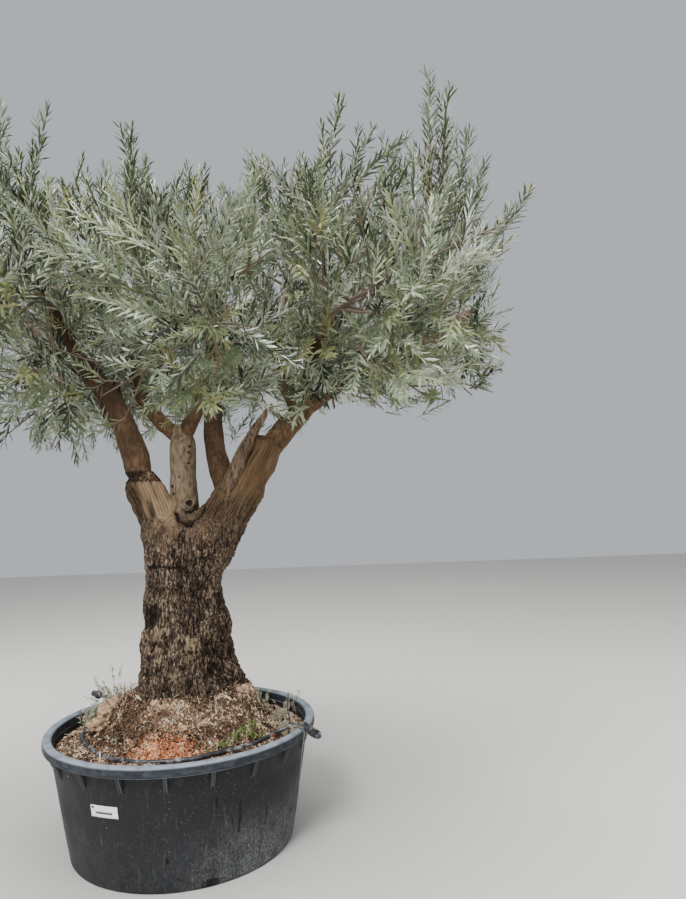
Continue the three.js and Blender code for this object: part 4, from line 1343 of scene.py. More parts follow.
def cracks(points):
    """The long, wandering cracks of old bark: one at their bottoms, nought on the plates between."""
    noise.seed_set(CRACK_SEED)
    wander = np.array([noise.noise_vector(Vector(point)) for point in points / 0.06]) * 0.014
    lines = layered(points + wander, (0.021, 0.021, 0.080), 3)
    return bell(lines, 0.22)


def bark_grain(points):
    """For each point, the limb that it lies on, its place square to that limb and along the limb's grain."""
    nearest = limb_distances(points)[0].argmin(1)
    names = np.array([segment[4] for segment in SEGMENTS])[nearest]
    starts = np.array([segment[0] for segment in SEGMENTS])
    spans = unit(np.array([segment[1] for segment in SEGMENTS]) - starts)[nearest]
    away = points - starts[nearest]
    along = (away * spans).sum(1)
    square = away - along[:, None] * spans
    height = along + starts[nearest][:, 2]
    return names, square, np.stack([square[:, 0], square[:, 1] + square[:, 2] * 0.3, height], axis=1)


def bark_kinds(names, square, z, lumps, streak):
    """Where the bark is young, smooth and grey, gone, or stringy, each from nought to one."""
    live = np.isin(names, STUBS, invert=True) * eased(z, 1.60, 1.68)
    live = np.maximum(live, (names == "left_stub") * eased(z + 0.02 * lumps, 1.765, 1.785))
    centre = (names == "centre_stub") * eased(z, 1.52, 1.58)
    right = (names == "right_stub") * eased(z + streak * 0.07 + square[:, 0] * 0.3, 1.60, 1.68)
    taper = eased(z, 1.62, 1.42) * 0.35
    inner = eased(square[:, 0] * 9 - square[:, 1] * 5 + streak * 0.5 - taper, 0.20, 0.80)
    left = (names == "left_stub") * inner * eased(z + streak * 0.08, 1.42, 1.56)
    bare = np.clip(np.maximum(right, left) * (1 - centre) * (1 - live), 0, 1)
    fibrous = eased(z + 0.06 * lumps + streak * 0.12, 1.34, 1.62) * (1 - bare) * (1 - centre) * (1 - live)
    return live, centre, bare, fibrous


def knot_shapes(points):
    """The old knot's rings, its dark heart, and how far the whole stands out."""
    x, y, z = points.T
    gap = np.hypot(x - KNOT[0], z - KNOT[1]) + (y > 0)
    bent = gap + 0.006 * layered(points, (0.02, 0.02, 0.02), 2)
    # The rings are darkened with painted shade, most on the knob's lower right
    shaded = eased((x - KNOT[0]) * 0.6 - (z - KNOT[1]), -0.030, 0.020)
    ring = bell(bent - KNOT_REACH, 0.0085) * (0.45 + 0.35 * shaded)
    ring += bell(bent - KNOT_REACH * 0.64, 0.0045) * 0.8
    heart = bell(bent, 0.015, 6)
    return ring, heart, bell(gap, 0.040, 4) * 0.022 - ring * 0.007 - heart * 0.010


def fold_shapes(points, lumps, fine):
    """The buds above the knot, the crevice and the valleys, and the crease with the ledge over it."""
    x, y, z = points.T
    spot = deepest(bell(np.hypot(x - across, z - height), SPOT_RADIUS) for across, height in SPOTS)
    spot = spot * (y < 0.02)
    crevice = bell(line_gaps(points, CREVICE) + 0.006 * fine, 0.008) * (y < 0.02)
    away = np.minimum.reduce([line_gaps(points, fold) for fold in FOLDS])
    valley = bell(away + 0.02 * lumps, 0.022) * (y < 0)
    crossing = eased(x, CREASE_SPAN[0], CREASE_SPAN[0] + 0.03)
    crossing *= eased(x, CREASE_SPAN[1], CREASE_SPAN[1] - 0.05) * (y < 0)
    crease = bell(z - CREASE_Z - 0.012 * lumps, 0.008) * crossing
    ledge = bell(z - CREASE_Z - 0.020 - 0.012 * lumps, 0.013) * crossing
    return spot, crevice, valley, crease, ledge


def bark_relief(points):
    """How far the bark stands out at each point, its masks, and places along the grain."""
    names, square, grain = bark_grain(points)
    z = points[:, 2]
    lumps = layered(points, (0.15, 0.15, 0.15), 3)
    ridge = layered(grain, (0.013, 0.013, 0.16), 3)
    streak = layered(grain, (0.022, 0.022, 0.30), 2)
    fine = layered(points, (0.011, 0.011, 0.026), 2)
    furrow = 1 - 2 * np.abs(layered(points, (0.045, 0.045, 0.200), 3))
    live, centre, bare, fibrous = bark_kinds(names, square, z, lumps, streak)
    plated = (1 - bare) * (1 - live) * (1 - centre) * (1 - fibrous)
    crack = cracks(points)
    ring, heart, knob = knot_shapes(points)
    spot, crevice, valley, crease, ledge = fold_shapes(points, lumps, fine)
    charred = (names == "left_stub") * eased(z + 0.02 * lumps, 1.69, 1.72)
    charred = charred * eased(z + 0.02 * lumps, 1.80, 1.76)
    hollow = around(points, HOLLOW, 0.045)

    out = lumps * 0.015 * (1 - 0.6 * live) * (1 - 0.5 * centre) + fine * 0.002 * (0.3 + 0.7 * plated)
    rough = 0.65 + 0.35 * eased(z, 1.15, 0.95)
    out += (0.001 - crack * 0.0095 + furrow * 0.0070 + fine * 0.003) * plated * rough
    out += ridge * (0.0045 * bare + 0.0068 * fibrous + 0.0012) + fine * 0.003 * fibrous
    out += fine * 0.0035 * charred - charred * 0.004
    out += knob - 0.004 * spot - 0.030 * hollow - 0.016 * crevice - 0.013 * valley
    out += 0.007 * ledge - 0.008 * crease
    for x, y, height, radius, swell in BURLS:
        out += around(points, (x, y, height), radius) * swell
    # Painted shade darkens the cracks, the furrows, the grooves of the grain, the hollow, the crease, the
    # crevice, the valleys and the knot's rings; the buds, the knot's heart and the charred wood are dark in
    # themselves
    pit = crack * plated * 0.8 + np.clip(-ridge - 0.30, 0, 1) * 1.6 * (bare + fibrous)
    pit += spot * 0.9 + hollow * 1.3 + crease * 0.9 + ring * 0.9 + heart * 0.95 + crevice
    pit += charred * np.clip(0.8 + fine * 0.6, 0, 1) + valley * np.clip(0.45 + fine, 0, 1)
    pit = np.clip(pit + 0.5 * eased(-furrow, 0.2, 0.9) * plated, 0, 1)
    bare = np.maximum(bare, 0.8 * deepest(around(points, burl[:3], burl[3]) for burl in BURLS[:2]))
    crust = deepest(around(points, place, radius) for place, radius in LICHENS)
    crust *= eased(fine + layered(points, (0.03, 0.03, 0.03), 2), -0.35, 0.15)
    masks = {"pit": pit, "bare": bare, "young": live, "centre": centre, "fibrous": fibrous, "crust": crust}
    return out, masks, grain


def softened(mesh, low, high, rounds):
    """Smooths a skin's points between two heights, where the stubs leave the trunk."""
    count = len(mesh.vertices)
    points = mesh_values(mesh.vertices, "co", 3)
    ends = mesh_values(mesh.edges, "vertices", 2, np.int32)
    share = 0.5 * eased(points[:, 2], low, low + 0.06) * eased(points[:, 2], high, high - 0.06)
    ends = ends[share[ends].max(1) > 0]
    first, second = np.concatenate([ends, ends[:, ::-1]]).T
    neighbours = np.maximum(np.bincount(first, minlength=count), 1)
    for _ in range(rounds):
        mean = np.stack([np.bincount(first, points[second, axis], count) for axis in range(3)], axis=1)
        points += (mean / neighbours[:, None] - points) * share[:, None]
    mesh.vertices.foreach_set("co", points.astype(np.float32).ravel())
    mesh.update()


def dress_in_bark(mesh):
    """Moves a skin's points out by the bark's relief and keeps its masks on them."""
    points = mesh_values(mesh.vertices, "co", 3)
    out, masks, grain = bark_relief(points)
    moved = points + mesh_values(mesh.vertices, "normal", 3) * out[:, None]
    moved[:, 2] = np.maximum(moved[:, 2], TRUNK_SECTIONS[0][0] - 0.005)
    mesh.vertices.foreach_set("co", moved.astype(np.float32).ravel())
    for name, values in masks.items():
        mesh.attributes.new(name, "FLOAT", "POINT").data.foreach_set("value", values.astype(np.float32))
    mesh.attributes.new("grain", "FLOAT_VECTOR", "POINT").data.foreach_set(
        "vector", grain.astype(np.float32).ravel())
    mesh.polygons.foreach_set("use_smooth", [True] * len(mesh.polygons))
    mesh.update()


class OLIVE_OT_trunk(bpy.types.Operator):
    """Grows the trunk and its three cut stubs as one skin with the bark's relief"""

    bl_idname = "olive.trunk"
    bl_label = "Trunk and stubs"

    def execute(self, context):
        bm = bmesh.new()
        loft(bm, [trunk_ring(step / 40) for step in range(41)], 64)
        for name, rounding in zip(STUBS, STUB_ROUNDING):
            lofted_limb(bm, TREE_LIMBS[name]["points"], TREE_LIMBS[name]["radius"], 20, 32, rounding)
        lofted_limb(bm, SHOULDER, SHOULDER_RADIUS, 12, 24, 0.3)
        mesh = remeshed(bm, sizes().trunk_voxel, 6)
        softened(mesh, FORK_LOW, FORK_HIGH, FORK_ROUNDS)
        dress_in_bark(mesh)
        add_piece("trunk_bark", mesh, [grown_bark()], ["trunk"] + STUBS)
        return {"FINISHED"}


class OLIVE_OT_boughs(bpy.types.Operator):
    """Grows the live limbs and arms as one skin with the bark's relief"""

    bl_idname = "olive.boughs"
    bl_label = "Boughs"

    def execute(self, context):
        bm = bmesh.new()
        names = [name for name in TREE_LIMBS if name not in STUBS]
        for name in names:
            lofted_limb(bm, TREE_LIMBS[name]["points"], TREE_LIMBS[name]["radius"], 14, 24)
        mesh = remeshed(bm, sizes().bough_voxel, 6)
        dress_in_bark(mesh)
        add_piece("bough_bark", mesh, [bpy.data.materials["olive bark and heartwood"]], names)
        return {"FINISHED"}


class OLIVE_OT_sliver(bpy.types.Operator):
    """Splits off the splinter of dead wood beside the right stub"""

    bl_idname = "olive.sliver"
    bl_label = "Dead splinter"

    def execute(self, context):
        bm = bmesh.new()
        lofted_limb(bm, SLIVER_LINE, SLIVER_RADIUS, 16, 20)
        mesh = remeshed(bm, 0.005, 2)
        for corner in mesh.vertices:
            where = corner.co
            across = where.x - 0.45 * where.z
            split = noise.fractal(Vector((across / 0.011, where.y / 0.014, where.z / 0.12)), 0.8, 2.0, 3)
            corner.co = where + corner.normal * (split * 0.011)
        mesh.polygons.foreach_set("use_smooth", [True] * len(mesh.polygons))
        add_piece("dead_splinter", mesh, [split_heartwood()], ["dead_sliver"])
        return {"FINISHED"}


class OLIVE_OT_foliage(bpy.types.Operator):
    """Grows one mass of foliage on from its limb to leaves of life size"""

    bl_idname = "olive.foliage"
    bl_label = "Foliage"

    index: bpy.props.IntProperty(name="Mass", description="Which mass of foliage", default=0, min=0, max=9)

    def execute(self, context):
        mass = MASSES[self.index]
        chance = np.random.default_rng(mass["seed"])
        boughs = [pruned(mass, twig) if twig["kind"] in ("shoot", "side") else twig
                  for twig in grow_boughs(mass)]
        branches = grow_branches(mass, boughs + [limb_curve(mass)], chance)
        curves, size, gap = kept_shoots(mass, grow_shoots(mass, boughs, branches, chance))

        branches = [twig for twig in branches if in_crown(mass, np.array([twig["curve"][2]]), 0.0)[0]]
        limbs = wood_tubes([twig["curve"] for twig in boughs], [twig["radius"] for twig in boughs], 9, 6)
        twigs = wood_tubes([twig["curve"] for twig in branches], [twig["radius"] for twig in branches], 4, 4)
        stalks = wood_tubes(curves, [(0.0017, 0.0008)] * len(curves), 4, 3)
        points, faces = joined([limbs, twigs, stalks])
        slots = np.repeat([0, 1], [len(limbs[1]) + len(twigs[1]), len(stalks[1])])
        bark = plain("smooth twig bark", "66594a", 0.8)
        stalk = plain("green shoot bark", "8d8667", 0.7)
        name = mass["name"]
        add_piece(name + "_twigs", mesh_from_arrays(points, faces, slots, True), [bark, stalk])

        # Sprays deep in the crown and high against the sky are dealt darker looks, painted shade
        depth = depth_in_crown(mass, curves[:, 2])
        height = eased(curves[:, 2, 2], 2.50, 3.05)
        tops = dealt(TOP_SHARES, depth, height, chance)
        felt = dealt(UNDER_SHARES, depth, height, chance)
        unders = WITHERED + 1 + np.where(tops == WITHERED, len(UNDER_SHARES[0]), felt)
        leaves = grow_leaves(curves, size, gap, chance)
        points, faces, slots = leaf_arrays(*leaves, tops, unders)
        mesh = mesh_from_arrays(points, faces, slots)
        add_piece(name + "_leaves", mesh, leaf_palette(), [name])
        return {"FINISHED"}


def pot_profile():
    """The pot's section from the middle of its underside round the rim to the middle of its floor."""
    def arc(x, z, radius, start, end, steps):
        turns = [start + (end - start) * step / steps for step in range(steps + 1)]
        return [(x + radius * math.cos(turn), z + radius * math.sin(turn)) for turn in turns]
    quarter = math.pi / 2
    foot = POT_HEIGHT - RIM_HEIGHT
    inner = RIM_RADIUS - RIM_WIDTH
    return (
        [(0, 0)]
        + arc(BASE_RADIUS - BASE_ROUND, BASE_ROUND, BASE_ROUND, -quarter, 0, 4)
        + [(wall_radius(z), z) for z in (0.12, 0.25, 0.38, foot)]
        + arc(RIM_RADIUS - RIM_ROUND, foot + RIM_ROUND, RIM_ROUND, -quarter, 0, 4)
        + arc(RIM_RADIUS - RIM_ROUND, POT_HEIGHT - RIM_ROUND, RIM_ROUND, 0, quarter, 5)
        + arc(inner + RIM_ROUND, POT_HEIGHT - RIM_ROUND, RIM_ROUND, quarter, 2 * quarter, 5)
        + [(inner, foot), (BASE_RADIUS - WALL, FLOOR), (0, FLOOR)]
    )


def wall_radius(z):
    """The pot's outer radius under the rim."""
    return between((BASE_RADIUS, RIM_RADIUS - RIM_WIDTH + WALL), z / (POT_HEIGHT - RIM_HEIGHT))


def spun(bm, profile, steps):
    """Spins a profile round the upright axis."""
    corners = [bm.verts.new((x, 0, z)) for x, z in profile]
    edges = [bm.edges.new(pair) for pair in zip(corners, corners[1:])]
    bmesh.ops.spin(bm, geom=corners + edges, cent=(0, 0, 0), axis=(0, 0, 1), angle=math.tau, steps=steps,
                   use_merge=True)
    bmesh.ops.remove_doubles(bm, verts=bm.verts, dist=1e-5)


class OLIVE_OT_pot(bpy.types.Operator):
    """Moulds the pot: wall, floor, rolled rim and the gussets under it"""

    bl_idname = "olive.pot"
    bl_label = "Pot"

    def execute(self, context):
        bm = bmesh.new()
        spun(bm, pot_profile(), 160)
        material = moulded_polyethylene()
        add_piece("pot_shell", mesh_from_bmesh(bm), [material], ["pot"])

        bm = bmesh.new()
        top = POT_HEIGHT - RIM_HEIGHT + 0.002
        for index in range(RIBS):
            turn = Matrix.Rotation(index * math.tau / RIBS + RIB_TURN, 3, "Z")
            for side in (-1, 1):
                for corner in bmesh.ops.create_cube(bm, size=1)["verts"]:
                    across = side * (RIB_WIDTH - RIB_WALL) / 2 + corner.co.y * RIB_WALL
                    z = top - RIB_HEIGHT * (0.5 - corner.co.z)
                    reach = 0.002 if corner.co.z < 0 else RIB_REACH
                    radius = wall_radius(z) + (reach if corner.co.x > 0 else -WALL / 2)
                    corner.co = turn @ Vector((radius, across, z))
            for corner in bmesh.ops.create_cube(bm, size=1)["verts"]:
                z = top - RIB_HEIGHT * 0.9 * (0.5 - corner.co.z)
                reach = 0.0005 if corner.co.z < 0 else RIB_REACH - 0.005
                radius = wall_radius(z) + (reach if corner.co.x > 0 else -WALL / 2)
                corner.co = turn @ Vector((radius, corner.co.y * (RIB_WIDTH - RIB_WALL), z))
        bmesh.ops.bevel(bm, geom=bm.edges, offset=RIB_BEVEL, segments=2, affect="EDGES", profile=0.5,
                        material=-1)
        worn_and_lit = plain("rubbed black polyethylene", "3a3d40", 0.5)
        add_piece("pot_gussets", mesh_from_bmesh(bm), [worn_and_lit])
        return {"FINISHED"}


def label_place(share, rise, lift):
    """A place on the label, which lies on the pot's wall with its ends a little loose."""
    z = LABEL_Z + rise * LABEL_HIGH + 0.02 * share * LABEL_WIDE
    turn = LABEL_TURN + share * LABEL_WIDE / wall_radius(z)
    radius = wall_radius(z) + lift + 0.014 * max(0.0, abs(share) - 0.42)
    return Vector((radius * math.cos(turn), radius * math.sin(turn), z))


class OLIVE_OT_label(bpy.types.Operator):
    """Sticks the plain paper label on the pot's front"""

    bl_idname = "olive.label"
    bl_label = "Label"

    def execute(self, context):
        bm = bmesh.new()
        for corner in bmesh.ops.create_grid(bm, x_segments=24, y_segments=10, size=0.5)["verts"]:
            corner.co = label_place(corner.co.x, corner.co.y, 0.0008)
        bmesh.ops.recalc_face_normals(bm, faces=bm.faces)
        bmesh.ops.solidify(bm, geom=bm.faces, thickness=-0.0004)
        add_piece("label", mesh_from_bmesh(bm), [printed_paper()])

        bm = bmesh.new()
        for left, right, low, high in LABEL_MARKS:
            for corner in bmesh.ops.create_grid(bm, x_segments=8, y_segments=2, size=0.5)["verts"]:
                across = between((left, right), corner.co.x + 0.5)
                corner.co = label_place(across, between((low, high), corner.co.y + 0.5), 0.0014)
        bmesh.ops.recalc_face_normals(bm, faces=bm.faces)
        bmesh.ops.solidify(bm, geom=bm.faces, thickness=-0.0002)
        ink = plain("grey printer's ink", "5a5a5c", 0.6)
        add_piece("label_marks", mesh_from_bmesh(bm), [ink])
        return {"FINISHED"}


def pipe_places():
    """The pipe's line as a tree of places seen from above, with the height of each."""
    places = smooth_line(HOSE_ROUTE, 400)
    tree = kdtree.KDTree(len(places))
    for number, place in enumerate(places):
        tree.insert((place[0], place[1], 0), number)
    tree.balance()
    return tree, [place[2] for place in places]


PIPE_TREE, PIPE_HEIGHTS = pipe_places()


def soil_height(x, y):
    """The heap's height over a place, from its slope line, leaning a little to the right."""
    radii, heights = zip(*SOIL_LINE)
    height = np.interp(np.hypot(x, y), radii, heights)
    for _ in range(2):
        shift = np.clip(height - SOIL_EDGE_Z, 0, None) / (SEAT_Z - SOIL_EDGE_Z) * SEAT_SHIFT
        height = np.interp(np.hypot(x - shift, y), radii, heights)
    return height


def rough_height(x, y):
    """The heap's height with its lumps."""
    height = float(soil_height(x, y))
    lump = noise.fractal(Vector((x / 0.11, y / 0.11, 3.7)), 0.9, 2.0, 4)
    slope = min(1.0, max(0.25, (0.60 - math.hypot(x, y)) / 0.12))
    grit = noise.noise(Vector((x / 0.013, y / 0.013, 1.3)))
    swell = sum(rise * math.exp(-((x - across) ** 2 + (y - deep) ** 2) / reach ** 2)
                for across, deep, reach, rise in SOIL_LUMPS)
    height += 0.018 * lump * slope + 0.003 * grit + swell
    _, number, gap = PIPE_TREE.find((x, y, 0))
    share = min(max((PIPE_BANK - gap) / (PIPE_BANK - PIPE_CLEAR), 0), 1)
    return height + (min(height, PIPE_HEIGHTS[number] - PIPE_SUNK) - height) * share


class OLIVE_OT_soil(bpy.types.Operator):
    """Heaps the soil in the pot round the foot of the trunk"""

    bl_idname = "olive.soil"
    bl_label = "Soil"

    def execute(self, context):
        bm = bmesh.new()
        radii = [between((SOIL_CORE, SOIL_LINE[-1][0]), step / 84) for step in range(85)]
        profile = [(radius, SOIL_TOP) for radius in [0] + radii]
        profile += [(SOIL_FOOT, SOIL_BOTTOM), (0, SOIL_BOTTOM)]
        spun(bm, profile, 240)
        for corner in bm.verts:
            x, y, z = corner.co
            if z > SOIL_EDGE_Z and math.hypot(x, y) > SOIL_CORE / 2:
                corner.co.z = rough_height(x, y)
        add_piece("soil_heap", mesh_from_bmesh(bm), [damp_earth()], ["soil"])
        return {"FINISHED"}


def in_red_patch(x, y):
    """How much of the litter lies in the patch of red earth at the front."""
    across = (x - RED_MIDDLE[0]) / RED_REACH[0]
    deep = (y - RED_MIDDLE[1]) / RED_REACH[1]
    return np.exp(-1.6 * (across ** 2 + deep ** 2))


def on_heap(x, y):
    """Thick on the heap, thin at its edge and on the red earth."""
    return (1 - 0.6 * eased(np.hypot(x, y), 0.46, 0.58)) * (1 - 0.75 * in_red_patch(x, y))


def at_edge(x, y):
    """Thick round the heap's edge, thin on the slope and on the red earth."""
    edge = eased(np.hypot(x, y), 0.34, 0.50)
    return (0.10 + 0.90 * edge) * (1 - 0.8 * in_red_patch(x, y))


def litter_places(count, chance, inner, outer, zone):
    """Places on the heap, as thick as the zone says, with the slope's normal there."""
    radius = np.sqrt(chance.uniform(inner ** 2, outer ** 2, count * 40))
    turn = chance.uniform(0, math.tau, count * 40)
    x = radius * np.cos(turn) + 0.03 * (1 - radius / outer)
    y = radius * np.sin(turn)
    kept = np.flatnonzero(chance.uniform(0, 1, count * 40) < zone(x, y))[:count]
    x, y = x[kept], y[kept]
    clear = np.array([PIPE_TREE.find((a, b, 0))[2] > PIPE_CLEAR for a, b in zip(x, y)])
    x, y = x[clear], y[clear]
    step = 0.006
    z = np.array([rough_height(a, b) for a, b in zip(x, y)])
    slope_x = np.array([rough_height(a + step, b) for a, b in zip(x, y)]) - z
    slope_y = np.array([rough_height(a, b + step) for a, b in zip(x, y)]) - z
    normals = unit(np.stack([-slope_x / step, -slope_y / step, np.ones(len(x))], axis=1))
    return np.stack([x, y, z], axis=1), normals


def lying_frames(normals, chance, tilt):
    """Frames that lie on a slope, turned at random and tilted a little."""
    spin = unit(chance.normal(0, 1, normals.shape))
    ways = unit(np.cross(normals, spin) + normals * chance.normal(0, tilt, (len(normals), 1)))
    return frames_of(ways, unit(normals + chance.normal(0, 0.25, normals.shape)))


class OLIVE_OT_litter(bpy.types.Operator):
    """Strews the soil with straw, flakes of bark, crumbs of earth and dead leaves"""

    bl_idname = "olive.litter"
    bl_label = "Litter"

    def execute(self, context):
        chance = np.random.default_rng(5)
        self.strew("straw_litter", sizes().straws, chance, (0.0014, 0.032, 0.0011), 0.5, 0.20, on_heap, [
            ("rotted straw", "4a3a2e"), ("brown straw", "8a755f"), ("grey straw", "a79b84"),
            ("dry straw", "d0c0a2"), ("bright straw", "ede3cd"),
        ])
        self.strew("chip_litter", sizes().chips, chance, (0.0038, 0.0085, 0.0015), 0.6, 0.4, at_edge, [
            ("bark flake, dark", "2e2019"), ("bark flake", "6a4e3d"), ("brown chip", "a47a5d"),
            ("wood chip", "cbab8b"), ("pale chip", "fbf1df"),
        ])
        self.strew("clod_litter", sizes().clods, chance, (0.0040, 0.0048, 0.0037), 0.9, 0.5, on_heap, [
            ("damp crumbs", "2f2119"), ("crumbled earth", "664c3b"), ("brown crumbs", "a07d61"),
            ("dry clod", "e2c8aa"),
        ])
        self.strew("red_clods", sizes().red_clods, chance, (0.0040, 0.0048, 0.0036), 0.9, 0.5, in_red_patch, [
            ("deep red earth", "7c452c"), ("crumbled red earth", "b9734d"), ("bright red earth", "d9946a"),
            ("pale red earth", "edbd98"),
        ], 0.4)
        self.strew("fallen_leaves", sizes().dead_leaves, chance, (0.010, 0.046, 0.010), 0.25, 0.3, on_heap, [
            ("dead leaf, brown", "6e5238"), ("dead leaf, grey", "9d9480"), ("dead leaf, pale", "cdbf9d"),
        ], 1.1, LEAF_SHAPE, LEAF_TOP + LEAF_UNDER)
        return {"FINISHED"}

    def strew(self, name, count, chance, spans, spread, tilt, zone, looks, clump=1.1,
              shape=BOX_SHAPE, triangles=BOX_TRIANGLES):
        """One joined piece of many like bits, its colours dealt out bit by bit."""
        places, normals = litter_places(count, chance, *LITTER_RADII, zone)
        count = len(places)
        frames = lying_frames(normals, chance, tilt)
        size = np.exp(chance.normal(0, spread, (count, 3)) * [0.6, 1.0, 0.6])
        size = np.clip(size, 0.3, 2.4) * np.array(spans)
        roots = places + normals * (size[:, 2:] * 0.3)
        points, faces = scatter(shape, triangles, roots, frames, size)
        # The litter is dealt darker looks round the darker side of the heap
        damp = around(places[:, :2], DARK_LITTER_MIDDLE, DARK_LITTER_REACH)
        tone = layered(places, (0.06, 0.06, 0.06), 2) * clump + chance.normal(0, 0.5, count) - damp
        shares = ((tone.argsort().argsort() / count) ** DARKER * len(looks)).astype(int)
        materials = [plain(look, colour, 0.9, 0.2) for look, colour in looks]
        mesh = mesh_from_arrays(points, faces, np.repeat(shares, len(triangles)))
        add_piece(name, mesh, materials)


class OLIVE_OT_lumps(bpy.types.Operator):
    """Sets the sandy lumps on the heap"""

    bl_idname = "olive.lumps"
    bl_label = "Sandy lumps"

    def execute(self, context):
        bm = bmesh.new()
        for x, y, wide, deep, high in SAND_LUMPS:
            middle = Vector((x, y, rough_height(x, y) + high * 0.35))
            for corner in bmesh.ops.create_icosphere(bm, subdivisions=4, radius=1)["verts"]:
                way = corner.co.copy()
                swell = 1 + 0.50 * noise.fractal(way * 1.9 + middle * 20, 0.65, 2.0, 5)
                corner.co = middle + Vector((way.x * wide, way.y * deep, way.z * high)) * swell
        add_piece("sandy_lumps", mesh_from_bmesh(bm), [dry_sand()])
        return {"FINISHED"}


class OLIVE_OT_plants(bpy.types.Operator):
    """Grows the small weeds and tufts on the soil"""

    bl_idname = "olive.plants"
    bl_label = "Weeds"

    def execute(self, context):
        chance = np.random.default_rng(17)
        for look, stem, leaf in (("silvery weed", "9c9079", "b0ac92"), ("green tuft", "90945f", "7a8c4e")):
            curves = []
            leaves = []
            for x, y, high, stalks, count, long in PLANTS[look]:
                foot = np.array([x, y, rough_height(x, y) - 0.004])
                for _ in range(stalks):
                    root = foot + np.append(chance.normal(0, 0.012 + high * 0.12, 2), 0)
                    lean = np.append(chance.normal(0, 0.42, 2), 1)
                    tip = root + unit(lean) * high * chance.uniform(0.5, 1.1)
                    middle = (root + tip) / 2 + np.append(chance.normal(0, high * 0.06, 2), high * 0.1)
                    curves.append((root, middle, tip))
                    for share in chance.uniform(0.15, 1.0, count):
                        way = unit(unit(tip - root) * 0.8 + chance.normal(0, 0.55, 3))
                        place = bezier(root, middle, tip, share)
                        leaves.append((place, way, long * chance.uniform(0.6, 1.1)))
            stems = wood_tubes(curves, [(0.0011, 0.0005)] * len(curves), 4, 3)
            places, ways, longs = (np.array(column) for column in zip(*leaves))
            spans = np.stack([longs * 0.34, longs, longs * 0.3], axis=1)
            frames = frames_of(ways, unit(chance.normal(0, 0.6, ways.shape) + np.array([0, 0, 1.0])))
            blades = scatter(LEAF_SHAPE, LEAF_TOP + LEAF_UNDER, places, frames, spans)
            slots = np.repeat([0, 1], [len(stems[1]), len(blades[1])])
            name = look.replace(" ", "_")
            materials = [plain(look + " stalk", stem, 0.85), plain(look + " leaf", leaf, 0.8)]
            add_piece(name, mesh_from_arrays(*joined([stems, blades]), slots), materials)
        return {"FINISHED"}


class OLIVE_OT_string(bpy.types.Operator):
    """Knots the string round the pipe and sticks a dead twig beside it"""

    bl_idname = "olive.string"
    bl_label = "String and twig"

    def execute(self, context):
        bits = []
        for points in STRINGS:
            bits.append(tubes(smooth_line(points, 24)[None], np.full((1, 25), STRING_RADIUS), 6))
        cord = plain("twisted pale cord", "b3ada2", 0.9, 0.2)
        add_piece("string", mesh_from_arrays(*joined(bits), smooth=True), [cord])
        twig = tubes(smooth_line(STICK, 12)[None], np.linspace(*STICK_RADII, 13)[None], 7)
        bark = plain("dead twig bark", "3f424a", 0.85)
        add_piece("dead_twig", mesh_from_arrays(*twig, smooth=True), [bark])
        return {"FINISHED"}


def ring_at(middle, way, across, wide, high):
    """A ring square to a way, as a function of the turn."""
    side = across.normalized()
    other = way.cross(side)
    return lambda turn: middle + side * (math.cos(turn) * wide) + other * (math.sin(turn) * high)


def pipe_mesh(points):
    """A closed pipe along a smooth line through points."""
    line = bpy.data.curves.new("line", "CURVE")
    line.dimensions = "3D"
    line.bevel_depth = HOSE_RADIUS
    line.bevel_resolution = 5
    line.use_fill_caps = True
    spline = line.splines.new("POLY")
    steps = (len(points) - 1) * 6
    spline.points.add(steps)
    for point, place in zip(spline.points, smooth_line(points, steps)):
        point.co = (*place, 1)
    rough = bpy.data.objects.new("line", line)
    bpy.context.scene.collection.objects.link(rough)
    mesh = evaluated(rough)
    mesh.polygons.foreach_set("use_smooth", [True] * len(mesh.polygons))
    return mesh


class OLIVE_OT_pipe(bpy.types.Operator):
    """Lays the drip pipe round the heap, with its folded end"""

    bl_idname = "olive.pipe"
    bl_label = "Drip pipe"

    def execute(self, context):
        material = extruded_pipe()
        add_piece("drip_pipe", pipe_mesh(HOSE_ROUTE), [material], ["drip_hose"])
        route = [Vector(point) for point in HOSE_ROUTE]
        way = (route[-1] - route[-2]).normalized()
        across = way.cross(UP).normalized()
        foot = route[-1] - across * FOLD_PITCH
        tail = [foot - way * (FOLD_TAIL * step / 3) - UP * (0.002 * step) for step in range(4)]
        add_piece("pipe_tail", pipe_mesh(tail), [material], ["hose_tail"])

        bend = []
        middle = route[-1] - across * (FOLD_PITCH / 2)
        for step in range(9):
            turn = math.pi * step / 8
            ahead = way * (math.sin(turn) * FOLD_REACH)
            bend.append(middle + across * (math.cos(turn) * FOLD_PITCH / 2) + ahead)
        add_piece("pipe_fold", pipe_mesh(bend), [material])

        bm = bmesh.new()
        rings = []
        for back, full in ((0, 0.86), (0.002, 1), (SLEEVE_LONG - 0.002, 1), (SLEEVE_LONG, 0.86)):
            place = middle - way * (SLEEVE_BACK - back)
            rings.append(ring_at(place, way, across, SLEEVE_WIDE / 2 * full, SLEEVE_HIGH / 2 * full))
        loft(bm, rings, 32)
        clip = plain("black moulded clip", "17181a", 0.45)
        add_piece("pipe_sleeve", mesh_from_bmesh(bm), [clip], ["hose_sleeve"])

        bm = bmesh.new()
        out = (route[0] - route[1]).normalized()
        square = out.cross(UP).normalized()
        rings = [ring_at(route[0] + out * along, out, square, radius, radius) for along, radius in COUPLING]
        loft(bm, rings, 24)
        add_piece("pipe_coupling", mesh_from_bmesh(bm), [material], ["hose_coupling"])
        return {"FINISHED"}


